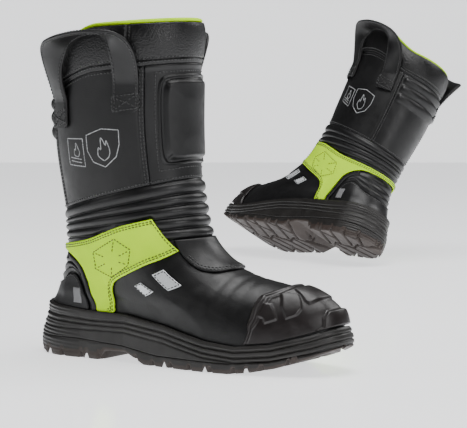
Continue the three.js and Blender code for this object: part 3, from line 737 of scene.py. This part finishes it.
PAD_TOP = [[128, 6.2], [132, 5.82], [140, 5.55], [152, 5.42], [166, 5.38], [180, 5.38]]
PAD_LOW = [[129, 6.75], [136, 6.5], [143, 6.64], [150, 7.03], [160, 7.33], [170, 7.48], [180, 7.53]]
pad_top, pad_low = round_back(curve(PAD_TOP, 90)), round_back(curve(PAD_LOW, 90))


def heel_ribs(angle, station, reach):
    """Three level ribs that die out where the pad narrows."""
    top = np.interp(np.abs(angle - 180), 180 - np.array(PAD_TOP)[::-1, 0], np.array(PAD_TOP)[::-1, 1])
    low = np.interp(np.abs(angle - 180), 180 - np.array(PAD_LOW)[::-1, 0], np.array(PAD_LOW)[::-1, 1])
    share = (station - top) / np.maximum(low - top, 0.1)
    return 1.7 * np.abs(np.sin(np.pi * 3 * np.clip(share, 0, 1))) ** 0.7 * smooth_step(0, 6, reach)


sewn("heel_ribs", pad_top, pad_low, 0.8, BLACK_LEATHER, across=28, gap=0.3, radius=0.8, lift=heel_ribs,
     padded=0.7)

PLAIN_TAG, tag_tree, tag_shader = shader("plain_tag", (0.16, 0.16, 0.165), 0.5)
bump(tag_tree, tag_shader, [(noise(tag_tree, 1400, 3), 0.4, 0.0002)])
for label, sign in (("lateral", 1), ("medial", -1)):
    edges = [at_station(sign * start, sign * end, station, 10)
             for start, end, station in ((128.6, 134.6, 7.7), (130.6, 136, 9.6))]
    sewn("heel_tag_" + label, *edges, 0.9, PLAIN_TAG, across=12, gap=2.2, radius=0.6, slot="toe_rubber")

# Instep guard: a flap under the bellows, its edge turned and sewn twice.
GUARD_LOW = [[38.4, 5.51], [37.3, 5.99], [35, 6.33], [26.9, 6.53], [12.4, 6.56], [0, 6.56]]
guard_low = over_front(curve(GUARD_LOW, 70))
guard_top = at_station(37.8, -37.8, 5.04, 139)
sewn("instep_guard", guard_top, guard_low, 1.8, BLACK_LEATHER, across=24, gap=0.5, radius=0.9,
     nodes=["instep_guard"])
foot_threads += [(inset_path(guard_low[8:-8], d), 2.35) for d in (1.8, 4.0)]

# Reflective tabs: silver film on the outer side only, each with a border of thread.


def reflective():
    """Retro-reflective film: pale silver with a fine honeycomb of glass beads."""
    material, tree, principled = shader("reflective_film", (0.72, 0.74, 0.76), 0.34, metallic=0.35)
    cells = pebbles(tree, 1500)
    paint(tree, principled, cells, [(0.1, (0.82, 0.84, 0.86)), (0.6, (0.62, 0.64, 0.66))])
    bump(tree, principled, [(cells, 0.35, 0.0001)])
    return material


REFLECTIVE = reflective()
TABS = {"large": [[58.7, 6.17], [69.3, 6.42], [56.8, 7.0], [68, 7.3]],
        "small": [[81.2, 6.85], [87.7, 7.11], [77.8, 7.41], [86.4, 7.89]]}
for label, corners in TABS.items():
    corners = np.array(corners, float)
    edges = [np.linspace(corners[start], corners[end], 24) for start, end in ((0, 1), (2, 3))]
    sewn("reflective_tab_" + label, *edges, 0.9, REFLECTIVE, across=24, gap=0.3, radius=0.5,
         nodes=["reflective_tab_" + label], slot="reflective_film")
    middle = corners.mean(0)
    border = middle + (corners[[0, 1, 3, 2, 0]] - middle) * 0.84
    foot_threads.append((polyline(border, 60), 1.25))

# Toe bumper: moulded rubber, with two raised blocks on each side, a top plate and a proud front.
TOE_REAR = [[56.6, 10.74], [53.5, 10.1], [51.3, 9.68], [41.4, 8.92], [30, 8.46], [14.8, 8.42], [0, 8.38]]
toe_rear = over_front(curve(TOE_REAR, 110))
toe_low = at_station(56.9, -56.9, 10.76, 219)
TOE_BLOCKS = [([[36, 8.9], [33.6, 9.05], [38.7, 9.81], [44.7, 9.82], [43.6, 9.56], [45.2, 9.4]], 1.7, 1.3),
              ([[22.1, 8.67], [14.4, 9.01], [23.1, 9.63], [29, 9.85], [35.4, 9.88], [31.7, 9.29]], 1.7, 1.3)]
TOE_BLOCKS += [([[-a, s] for a, s in corners[::-1]], h, b) for corners, h, b in TOE_BLOCKS]
TOE_BLOCKS += [([[11, 8.66], [-11, 8.66], [-17.4, 9.39], [-16.7, 9.57], [-8.2, 9.53], [8.2, 9.53], [16.7, 9.57],
                 [17.4, 9.39]], 1.7, 1.3),
               ([[9.9, 10.03], [-9.9, 10.03], [-15.6, 10.27], [-17, 10.6], [-24, 10.78], [-24, 11.5],
                 [24, 11.5], [24, 10.78], [17, 10.6], [15.6, 10.27]], 3.2, 2.4)]
TOE_METRIC = np.array([1.9, 19.0])  # millimetres to a degree and to a station on the toe


def inside_by(angle, station, corners):
    """Signed distance, in millimetres, of points into a polygon on the toe: positive inside."""
    p = np.stack([angle, station], -1) * TOE_METRIC
    a = np.asarray(corners, float) * TOE_METRIC
    b = np.roll(a, -1, axis=0)
    edge = b - a
    gap = p[..., None, :] - a
    t = np.clip((gap * edge).sum(-1) / (edge**2).sum(-1), 0, 1)
    distance = np.linalg.norm(gap - t[..., None] * edge, axis=-1).min(-1)
    crosses = (a[:, 1] > p[..., None, 1]) != (b[:, 1] > p[..., None, 1])
    slope = (p[..., None, 1] - a[:, 1]) / np.where(edge[:, 1] == 0, 1e-9, edge[:, 1])
    within = (crosses & (p[..., None, 0] < a[:, 0] + slope * edge[:, 0])).sum(-1) % 2 == 1
    return np.where(within, distance, -distance)


def toe_relief(angle, station, reach):
    """Two ridges along the rear edge, then blocks that rise over bevels."""
    rear = np.interp(np.abs(angle), np.array(TOE_REAR)[::-1, 0], np.array(TOE_REAR)[::-1, 1])
    behind = (station - rear) * 17
    lift = 0.9 * np.exp(-((behind - 1.6) / 0.9) ** 2) + 0.8 * np.exp(-((behind - 5.2) / 0.9) ** 2)
    for corners, height, bevel in TOE_BLOCKS:
        lift = np.maximum(lift, height * smooth_step(-0.3, bevel, inside_by(angle, station, corners)))
    return lift


TOE_RUBBER = rubber("toe_rubber", (0.0075, 0.0055, 0.0055), 1300, 0.38)
sewn("toe_bumper", toe_rear, toe_low, 1.9, TOE_RUBBER, across=80, gap=0.4, radius=0.9, lift=toe_relief,
     nodes=["toe_bumper"], slot="toe_rubber")
add_threads("foot_stitching", foot_threads)

# ---- Ankle bellows ----
# Leather quilted through foam to its own lining in five ribs, so that the ankle can flex. The ribs stand proud
# in front and lie flatter under the ankle band.
BELLOWS_TOP, BELLOWS_FOOT, RIBS = 3.0, 5.02, 5
bellows_angle, bellows_station = ring_grid(np.linspace(BELLOWS_TOP, BELLOWS_FOOT, 90), 240)
covered_from = np.interp(np.abs((bellows_angle + 180) % 360 - 180), [44, 50.5, 78, 105, 137, 180],
                         [9, 4.12, 4.27, 4.6, 4.78, 4.84])
open_share = 1 - smooth_step(-0.12, 0.0, bellows_station - covered_from)
rib = np.abs(np.sin(np.pi * RIBS * (bellows_station - BELLOWS_TOP) / (BELLOWS_FOOT - BELLOWS_TOP)))
fullness = 1.5 + 1.3 * np.clip(np.cos(np.radians(bellows_angle)), 0, 1) ** 2
bellows_lift = -1.5 + (1.5 + fullness * open_share) * rib**0.55
edge_share = smooth_step(0, 0.1, np.minimum(bellows_station - BELLOWS_TOP, BELLOWS_FOOT - bellows_station))
bellows_lift = bellows_lift * edge_share - 0.8 * (1 - edge_share)
points, faces = sleeve(bellows_angle, bellows_station, bellows_lift, -8.6)
for side in PLACING:
    piece = build("ankle_bellows", points, faces, side)
    piece.data.materials.append(BLACK_LEATHER)
    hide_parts(side + "_ankle_bellows")
    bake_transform(piece)

# ---- Shaft ----
# Four leather panels sewn edge to edge, with a raised padded shin guard in front, three soft ribs at the calf
# and a plain protection mark printed on the sides.
SHIN_SEAM, CALF_SEAM = 47, 138


def shaft_panel(name, start, end, lift):
    """A panel between two seams, from the collar seam down to the bellows."""
    edges = [at_station(start + 0.3, end - 0.3, station, 90) for station in (1.0, 3.0)]
    return sewn(name, *edges, 2.4, BLACK_LEATHER, across=60, gap=-2.4, radius=0.7, lift=lift, body="shaft",
                nodes=[name])


def shin_fold(angle, station, reach):
    """A folded strip under the collar seam."""
    return 0.9 * smooth_step(1.0, 1.01, station) * (1 - smooth_step(1.06, 1.1, station))


def side_grooves(angle, station, reach):
    """A pressed line beside the shin seam and another beside the calf seam, where the edges fold under."""
    from_front = np.abs(angle) - (SHIN_SEAM + 4.8)
    from_back = np.abs(angle) - (CALF_SEAM - 4.0)
    return -0.8 * np.exp(-(from_front / 0.5) ** 2) - 0.8 * np.exp(-(from_back / 0.5) ** 2)


def calf_folds(angle, station, reach):
    """Three soft ribs below the collar, fading towards the seams."""
    inside_it = smooth_step(1.5, 7, 180 - CALF_SEAM - np.abs(angle - 180))
    span = np.clip((station - 1.06) / 0.78, 0, 1)
    return 3.4 * inside_it * np.abs(np.sin(np.pi * 3 * span)) ** 0.6


shaft_panel("shin_panel", -SHIN_SEAM, SHIN_SEAM, shin_fold)
shaft_panel("side_panel_lateral", SHIN_SEAM, CALF_SEAM, side_grooves)
shaft_panel("side_panel_medial", -CALF_SEAM, -SHIN_SEAM, side_grooves)
shaft_panel("calf_panel", CALF_SEAM, 360 - CALF_SEAM, calf_folds)


def pillow(angle, half_angle, top, foot, columns, rows, corner=7.0):
    """Angles, stations and edge distances of a grid on a rectangle with corners rounded by a power mean. The
    grid is finer towards the edges."""
    even = [np.linspace(-1, 1, count) for count in (columns, rows)]
    u, v = np.meshgrid(*(np.sign(s) * (1 - (1 - np.abs(s)) ** 1.35) for s in even))
    longest = np.maximum(np.abs(u), np.abs(v))
    scale = longest / np.maximum((np.abs(u) ** corner + np.abs(v) ** corner) ** (1 / corner), 1e-9)
    angles, stations = angle + half_angle * u * scale, (top + foot) / 2 + (foot - top) / 2 * v * scale
    middle = (top + foot) / 2
    width = np.linalg.norm(last(angle + half_angle, middle) - last(angle - half_angle, middle))
    height = np.linalg.norm(last(angle, foot) - last(angle, top))
    return angles, stations, np.minimum((1 - np.abs(u)) * width / 2, (1 - np.abs(v)) * height / 2)


angle, station, reach = pillow(0, 36.2, 1.2, 2.7, 96, 112, 9.0)
# A narrow bead round a deep groove, and a soft foam cushion inside it.
pad_lift = 0.4 + 1.5 * np.exp(-((reach - 1.5) / 0.9) ** 2) + 3.4 * smooth_step(3.6, 8.0, reach)
pad_lift += 0.7 * smooth_step(7, 26, reach)
both("shin_pad", *slab(angle, station, pad_lift, 0.2), BLACK_LEATHER, body="shaft", nodes=["shin_pad"],
     padded=0.8)

shaft_threads = []
for sign in (1, -1):
    for seam in (SHIN_SEAM + 1.4, SHIN_SEAM + 3.6, CALF_SEAM - 1.3, CALF_SEAM + 1.3):
        shaft_threads.append((polyline([[sign * seam, 1.05], [sign * seam, 2.96]], 60), 0.12))
shaft_threads.append((at_station(48, 312, 1.055, 200), 0.12))
shaft_threads.append((at_station(0, 360, 2.945, 300), 0.12))
border = np.array([[-38.4, 1.15], [38.4, 1.15], [38.4, 2.76], [-38.4, 2.76], [-38.4, 1.15]])
shaft_threads.append((polyline(border, 240), 0.12))
add_threads("shaft_stitching", shaft_threads, body="shaft")


def ink():
    """Pale screen print, thin and a little worn."""
    material, tree, principled = shader("print_ink", (0.36, 0.37, 0.38), 0.6)
    paint(tree, principled, noise(tree, 700, 4), [(0.35, (0.16, 0.165, 0.17)), (0.6, (0.42, 0.43, 0.44))])
    bump(tree, principled, [(noise(tree, 1500, 2), 0.3, 0.0001)])
    return material


# The mark: a shield with a flame in it, beside a plain frame with a flame over two bars.
SHIELD = [[94.6, 1.95], [81, 1.9], [67.4, 1.97], [67.6, 2.2], [71, 2.38], [80.5, 2.5], [90.5, 2.38],
          [94.6, 2.2]]
FLAME = [[81, 2.4], [85.5, 2.3], [84.5, 2.18], [82.8, 2.22], [82, 2.04], [78.6, 2.17], [77.8, 2.1],
         [75.6, 2.26], [77, 2.36], [81, 2.4]]
FRAME = [[98.5, 1.99], [115.5, 1.92], [116, 2.33], [98.5, 2.42], [98.5, 1.99]]
BARS = [[[101.5, 2.35], [113, 2.28]], [[101.5, 2.3], [113, 2.23]]]
SMALL_FLAME = [[104.5, 2.25], [108.5, 2.21], [108, 2.12], [106.8, 2.14], [106.2, 2.03], [104, 2.12],
               [102.8, 2.19], [104.5, 2.25]]
MARK_MIDDLE = 91.4  # angle of the whole mark's middle
marks = [polyline(SHIELD + SHIELD[:1], 90), curve(FLAME, 60), polyline(FRAME, 80), curve(SMALL_FLAME, 40)]
marks += [polyline(bar, 16) for bar in BARS]
PRINT_INK = ink()
for side in PLACING:
    # A print reads the same way on every face, so it is turned round its middle where the boot is mirrored.
    faces_on = [(1, side == "left"), (-1, side == "right")]
    paths = [np.stack([sign * (2 * MARK_MIDDLE - p[:, 0] if turned else p[:, 0]), p[:, 1]], -1)
             for sign, turned in faces_on for p in marks]
    mark = build("printed_mark", *joined([ribbon(path, 0.85, 0.02, 0.12) for path in paths]), side)
    mark.data.materials.append(PRINT_INK)
    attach(mark, side + "_shaft")

# ---- Collar ----
# Padded top cuff of pebbled leather, with an upright seam on each side and a bound fluorescent rim.
GRAIN_LEATHER = leather("grain_leather", (0.0055, 0.0053, 0.0056), 620, 0.0005, 0.36)
COLLAR_SEAM = 60.3
collar_angle, collar_station = ring_grid(np.linspace(0.02, 1.0, 60), 300)
from_seam = np.abs(np.abs((collar_angle + 180) % 360 - 180) - COLLAR_SEAM) * 0.95
puff = 3.4 * np.sin(np.pi * (0.1 + 0.88 * collar_station)) ** 0.8
collar_lift = puff - 1.6 * np.exp(-(from_seam / 1.2) ** 2)
collar_lift -= 1.5 * np.exp(-((collar_station - 0.885) / 0.02) ** 2)
both("collar", *sleeve(collar_angle, collar_station, collar_lift, -2.4), GRAIN_LEATHER, body="shaft",
     nodes=["collar"], slot="grain_leather", padded=0.75)
collar_threads = [(at_station(0, 360, 0.855, 300), 1.6), (at_station(0, 360, 0.93, 300), 0.9)]
for sign in (1, -1):
    for seam in (COLLAR_SEAM - 1.9, COLLAR_SEAM + 1.9):
        collar_threads.append((polyline([[sign * seam, 0.1], [sign * seam, 0.84]], 40), 2.6))
add_threads("collar_stitching", collar_threads, body="shaft")

rim_angle = np.arange(360.0)
rim_centre = laid(rim_angle, 0.0, np.full(360, -3.0)) + [0, 0, 1.6]
rim_out = unit(normal(rim_angle, 0.5) * [1, 1, 0])
turns = np.radians(np.arange(14) * 360 / 14)[:, None, None]
roll = rim_centre + rim_out * np.cos(turns) * 3.2 + np.array([0, 0, 1.0]) * np.sin(turns) * 2.0
roll += rim_out * 0.15 * np.sin(rim_angle * 1.9)[None, :, None]
both("collar_piping", roll.reshape(-1, 3), grid_faces(14, 360, close_columns=True, close_rows=True), HI_VIS,
     body="shaft", nodes=["collar_piping"], slot="hi_vis_leather")

# ---- Pull loops ----
# Folded leather straps, one on each side: flat to the leg at both ends, turned edge-on at the top of the arch.
# Each end is sewn down with a stitched box and cross, and the strap folds over just above it.
LOOP_ENDS, TAB_TOP, TAB_FOOT = (61.0, 122.0), 1.24, 1.72
STRAP_HALF_WIDTH, STRAP_HALF_THICKNESS = 11.8, 1.6
STRAP_RISE, STRAP_STANDOFF = 47, 15.5
TAB_ROWS, SECTION_POINTS = 16, 28


def arch_centre(share, sign):
    """Middle line of the arch: the angle swings from one end to the other as the strap stands off and rises."""
    swing = np.pi * share
    angle = np.mean(LOOP_ENDS) - 30.5 * np.sign(np.cos(swing)) * np.abs(np.cos(swing)) ** 0.65
    high = np.sin(swing) ** 0.7
    point = laid(sign * angle, np.full_like(share, TAB_TOP), 2.2 + STRAP_STANDOFF * high)
    point[..., 2] += STRAP_RISE * high
    return point, sign * angle


def strap_frame(sign):
    """Centres, width and thickness directions along a strap, and how flat it lies to the leg there."""
    share = np.linspace(0.004, 0.996, 110)
    centre, angle = arch_centre(share, sign)
    outward = unit(normal(angle, np.full_like(angle, TAB_TOP)) * [1, 1, 0])
    twist = (np.pi * smooth_step(0, 1, share))[:, None]
    wide = np.cross([0, 0, sign], outward) * np.cos(twist) + outward * np.sin(twist)
    flat = np.abs(np.cos(twist[:, 0])) ** 3
    for end, order in ((0, slice(None, None, -1)), (1, slice(None))):
        stations = np.linspace(TAB_TOP + 0.03, TAB_FOOT, TAB_ROWS)[order]
        down = laid(np.full(TAB_ROWS, sign * LOOP_ENDS[end]), stations, np.full(TAB_ROWS, 2.2))
        parts = (down, centre) if end == 0 else (centre, down)
        centre = np.concatenate(parts)
        row = 0 if end == 0 else -1
        more = np.repeat(wide[row][None], TAB_ROWS, 0)
        wide = np.concatenate((more, wide) if end == 0 else (wide, more))
        flat = np.concatenate((np.ones(TAB_ROWS), flat) if end == 0 else (flat, np.ones(TAB_ROWS)))
    along = unit(np.gradient(centre, axis=0))
    wide = unit(wide - along * (wide * along).sum(-1, keepdims=True))
    return centre, wide, np.cross(along, wide) * sign, flat


corner_angle = np.radians(np.arange(SECTION_POINTS) * 360 / SECTION_POINTS)
# Section: a flat bar with rounded edges; on the leg it bends to the leg's own curve.
section_wide = np.sign(np.cos(corner_angle)) * np.abs(np.cos(corner_angle)) ** 0.3
section_thick = np.sign(np.sin(corner_angle)) * np.abs(np.sin(corner_angle)) ** 0.45


def leg_curve(wide, flat):
    """How far a point of the section drops towards the leg, wide millimetres off the middle."""
    return -flat * wide**2 / 118


for side in PLACING:
    for label, sign in (("lateral", 1), ("medial", -1)):
        centre, wide, thick, flat = strap_frame(sign)
        count = len(centre)
        out_of = np.sign((thick[8] * normal(sign * LOOP_ENDS[0], TAB_TOP)).sum())
        from_end = np.linalg.norm(centre - centre[0], axis=1).clip(0, 4) / 4
        from_end = np.minimum(from_end, np.linalg.norm(centre - centre[-1], axis=1).clip(0, 4) / 4)
        half_width = STRAP_HALF_WIDTH - 4 * (1 - np.sqrt(1 - (1 - from_end) ** 2))
        across = section_wide[None] * half_width[:, None]
        dish = 0.84 + 0.16 * section_wide**2
        through = section_thick * dish * STRAP_HALF_THICKNESS + out_of * leg_curve(across, flat[:, None])
        rings = centre[:, None] + wide[:, None] * across[..., None] + thick[:, None] * through[..., None]
        points = np.concatenate([rings.reshape(-1, 3), centre[[0, -1]]])
        around = np.arange(SECTION_POINTS)
        hub = np.full(SECTION_POINTS, count * SECTION_POINTS)
        caps = np.stack([around, np.roll(around, -1), hub, hub], -1)
        last_ring = (count - 1) * SECTION_POINTS
        far = caps[:, [1, 0, 2, 3]] + [last_ring, last_ring, 1, 1]
        faces = np.concatenate([grid_faces(count, SECTION_POINTS, close_columns=True), caps, far])
        name = "pull_loop_" + label
        strap = build(name, points, faces, side)
        strap.data.materials.append(BLACK_LEATHER)
        tabs = [side + "_loop_tabs_%s_%s" % (label, end) for end in ("front", "rear")]
        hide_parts(side + "_" + name, *tabs)
        rows = []
        for edge in (-1, 1):
            for face in (-1, 1):
                off = edge * (half_width[2:-2] - 2.0)
                lift = face * STRAP_HALF_THICKNESS * 0.97 + out_of * leg_curve(off, flat[2:-2])
                rows.append(stitch_line(centre[2:-2] + wide[2:-2] * off[:, None] + thick[2:-2] * lift[:, None],
                                        thick[2:-2] * face))
        for middle in LOOP_ENDS:
            low, high = TAB_FOOT - 0.045, TAB_TOP + 0.21
            corners = np.array([[-9.6, high], [9.6, high], [9.6, low], [-9.6, low]]) + [sign * middle, 0]
            for run in ([0, 1, 2, 3, 0], [0, 2], [1, 3]):
                rows.append(stitches([polyline(corners[run], 60)], 3.9))
        threads = build(name + "_stitching", *joined(rows), side)
        threads.data.materials.append(BLACK_THREAD)
        hinge = laid(sign * np.array(LOOP_ENDS), np.full(2, TAB_TOP), np.full(2, 2.0)).mean(0)
        for piece in (strap, threads):
            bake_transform(piece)

# ---- Linings and footbed ----
# Knitted lining over foam in the shaft, the same lining with its membrane in the foot, and a felt-topped
# footbed.


def knit():
    """Warp-knit lining: rows of small loops with a slight sheen, mottled by the yarn."""
    material, tree, principled = shader("lining_fabric", (0.07, 0.072, 0.078), 0.88, sheen_weight=0.35)
    paint(tree, principled, noise(tree, 300, 5), [(0.3, (0.045, 0.047, 0.052)), (0.7, (0.1, 0.102, 0.11))])
    bump(tree, principled, [(pebbles(tree, 800), 0.8, 0.0005), (noise(tree, 60, 3), 0.3, 0.001)])
    return material


LINING = knit()
lining_angle, lining_station = ring_grid(np.linspace(0.03, 2.94, 36), 120)
quilting = -0.4 * np.sin(lining_station * 11) ** 2
points, faces = sleeve(lining_angle, lining_station, np.full(lining_angle.shape, -3.6), -8.4 + quilting)
both("shaft_lining", points, faces, LINING, body="shaft", nodes=["shaft_lining"], slot="lining_fabric",
     padded=0.4)
foot_angle, foot_station = ring_grid(np.linspace(5.06, 11.7, 34), 120)
points, faces = sleeve(foot_angle, foot_station, np.full(foot_angle.shape, -7.3), -10.1)
both("foot_lining", points, faces, LINING, nodes=["foot_lining"], slot="lining_fabric")


def felt():
    """Needled felt over foam: dark, fibrous and dull."""
    material, tree, principled = shader("footbed_foam", (0.06, 0.062, 0.067), 0.92, sheen_weight=0.5)
    paint(tree, principled, noise(tree, 900, 6), [(0.3, (0.04, 0.041, 0.045)), (0.7, (0.09, 0.092, 0.1))])
    bump(tree, principled, [(noise(tree, 1600, 5), 0.7, 0.0006)])
    return material


BED_COLUMNS, BED_INSET = 240, 11.6
bed_rim, bed_out = foot_rim(np.arange(BED_COLUMNS) * 360 / BED_COLUMNS)
bed_edge = bed_rim * [1, 1, 0] - bed_out * BED_INSET
bed_spine = bed_edge * [0, 0, 0] + [-2, 0, 0]
bed_spine[:, 1] = np.clip(bed_edge[:, 1], 40, 262)
bed_spine[:, 0] += -8 * np.clip((bed_spine[:, 1] - 120) / 150, 0, 1)
rows = []
for share, rise in ((1, -4.8), (0, -4.8), (0, -1.2), (0.03, -0.5), (0.1, -0.3), (0.3, -0.6), (0.6, -0.9),
                    (1, -1.0)):
    row = bed_edge * (1 - share) + bed_spine * share
    row[:, 2] = feather(row[:, 1]) + rise
    rows.append(row)
for piece in both("footbed", np.concatenate(rows), grid_faces(len(rows), BED_COLUMNS, close_columns=True),
                  felt(), nodes=["footbed"], slot="footbed_foam"):
    merged(piece)

# ---- Hidden stiffeners ----
# Composite toe cap, heel counter and puncture plate, and the steel shank: the frame's own solids, out of sight.


def composite():
    """Moulded glass-filled shell: straw coloured, with short fibres showing."""
    material, tree, principled = shader("composite_shell", (0.42, 0.39, 0.31), 0.55)
    paint(tree, principled, pebbles(tree, 700), [(0.1, (0.5, 0.47, 0.38)), (0.7, (0.34, 0.31, 0.24))])
    bump(tree, principled, [(pebbles(tree, 900), 0.4, 0.0002)])
    return material


def spring_steel():
    """Bright spring steel with rolling marks."""
    material, tree, principled = shader("shank_steel", (0.55, 0.56, 0.58), 0.32, metallic=1.0)
    paint(tree, principled, noise(tree, 500, 6), [(0.3, grey(0.24)), (0.7, grey(0.42))], "Roughness")
    bump(tree, principled, [(noise(tree, 1400, 3), 0.25, 0.0001)])
    return material


SHELL, STEEL = composite(), spring_steel()
for side in PLACING:
    for node, material in (("safety_toe_cap", SHELL), ("heel_counter", SHELL), ("puncture_plate", SHELL),
                           ("shank", STEEL)):
        solid = frame["nodes"][side + "_" + node]
        solid.data.materials.clear()
        solid.data.materials.append(material)

# ---- Studio ----
# A pale glossy floor, a pale backdrop that only the camera sees, and four soft lights: a large one above, and
# smaller ones from the side, the toe and behind.


def sheet_of(name, points, faces, material):
    """A plain mesh that belongs to the studio."""
    mesh = bpy.data.meshes.new(name)
    mesh.from_pydata(points, [], faces)
    mesh.materials.append(material)
    piece = bpy.data.objects.new(name, mesh)
    bpy.context.collection.objects.link(piece)
    return piece


floor_material, floor_tree, floor_shader = shader("studio_floor", (0.9, 0.905, 0.91), 0.16,
                                                  specular_ior_level=0.8)
floor_shader.inputs["Emission Color"].default_value = (0.97, 0.98, 1.0, 1)
floor_shader.inputs["Emission Strength"].default_value = 1.2
paint(floor_tree, floor_shader, noise(floor_tree, 3, 2), [(0.3, grey(0.09)), (0.7, grey(0.14))], "Roughness")
sheet_of("floor", [(-9, -9, 0), (9, -9, 0), (9, 9, 0), (-9, 9, 0)], [(0, 1, 2, 3)], floor_material)


def soft_light(name, where, aim, size, power):
    """A square area light at where, facing aim."""
    lamp = bpy.data.objects.new(name, bpy.data.lights.new(name, "AREA"))
    lamp.data.size = size
    lamp.data.energy = power
    lamp.location = where
    direction = np.asarray(aim, float) - where
    flat = math.hypot(direction[0], direction[1])
    lamp.rotation_euler = (math.pi / 2 + math.atan2(direction[2], flat), 0,
                           math.atan2(direction[1], direction[0]) - math.pi / 2)
    bpy.context.collection.objects.link(lamp)


boot_at = placed([0, 130, 150], "right")
soft_light("top_light", boot_at + [-0.2, 0.1, 1.9], boot_at, 1.5, 52)
soft_light("side_light", boot_at + [1.5, -1.3, 0.9], boot_at, 0.5, 7)
soft_light("toe_light", boot_at + [0.7, 1.9, 0.8], boot_at, 0.6, 16)
soft_light("back_light", boot_at + [-1.8, 0.6, 1.2], boot_at, 1.0, 16)
backdrop, _, backdrop_shader = shader("backdrop", (0.9, 0.9, 0.9), 0.9)
backdrop_shader.inputs["Emission Color"].default_value = (0.97, 0.98, 1.0, 1)
backdrop_shader.inputs["Emission Strength"].default_value = 0.8
far, half = boot_at - toward * 3.4, aside * 6
backdrop_sheet = sheet_of("backdrop", [tuple(far + half * i + [0, 0, z]) for i, z in
                                       ((-1, -2), (1, -2), (1, 5), (-1, 5))], [(0, 1, 2, 3)], backdrop)
# The backdrop is only there to be seen: it would wash out the black leather if it lit it.
backdrop_sheet.visible_diffuse = False
backdrop_sheet.visible_glossy = False
world = bpy.data.worlds.new("studio")
world.use_nodes = True
world.node_tree.nodes["Background"].inputs["Color"].default_value = (0.93, 0.94, 0.95, 1)
world.node_tree.nodes["Background"].inputs["Strength"].default_value = 0.08
bpy.context.scene.world = world
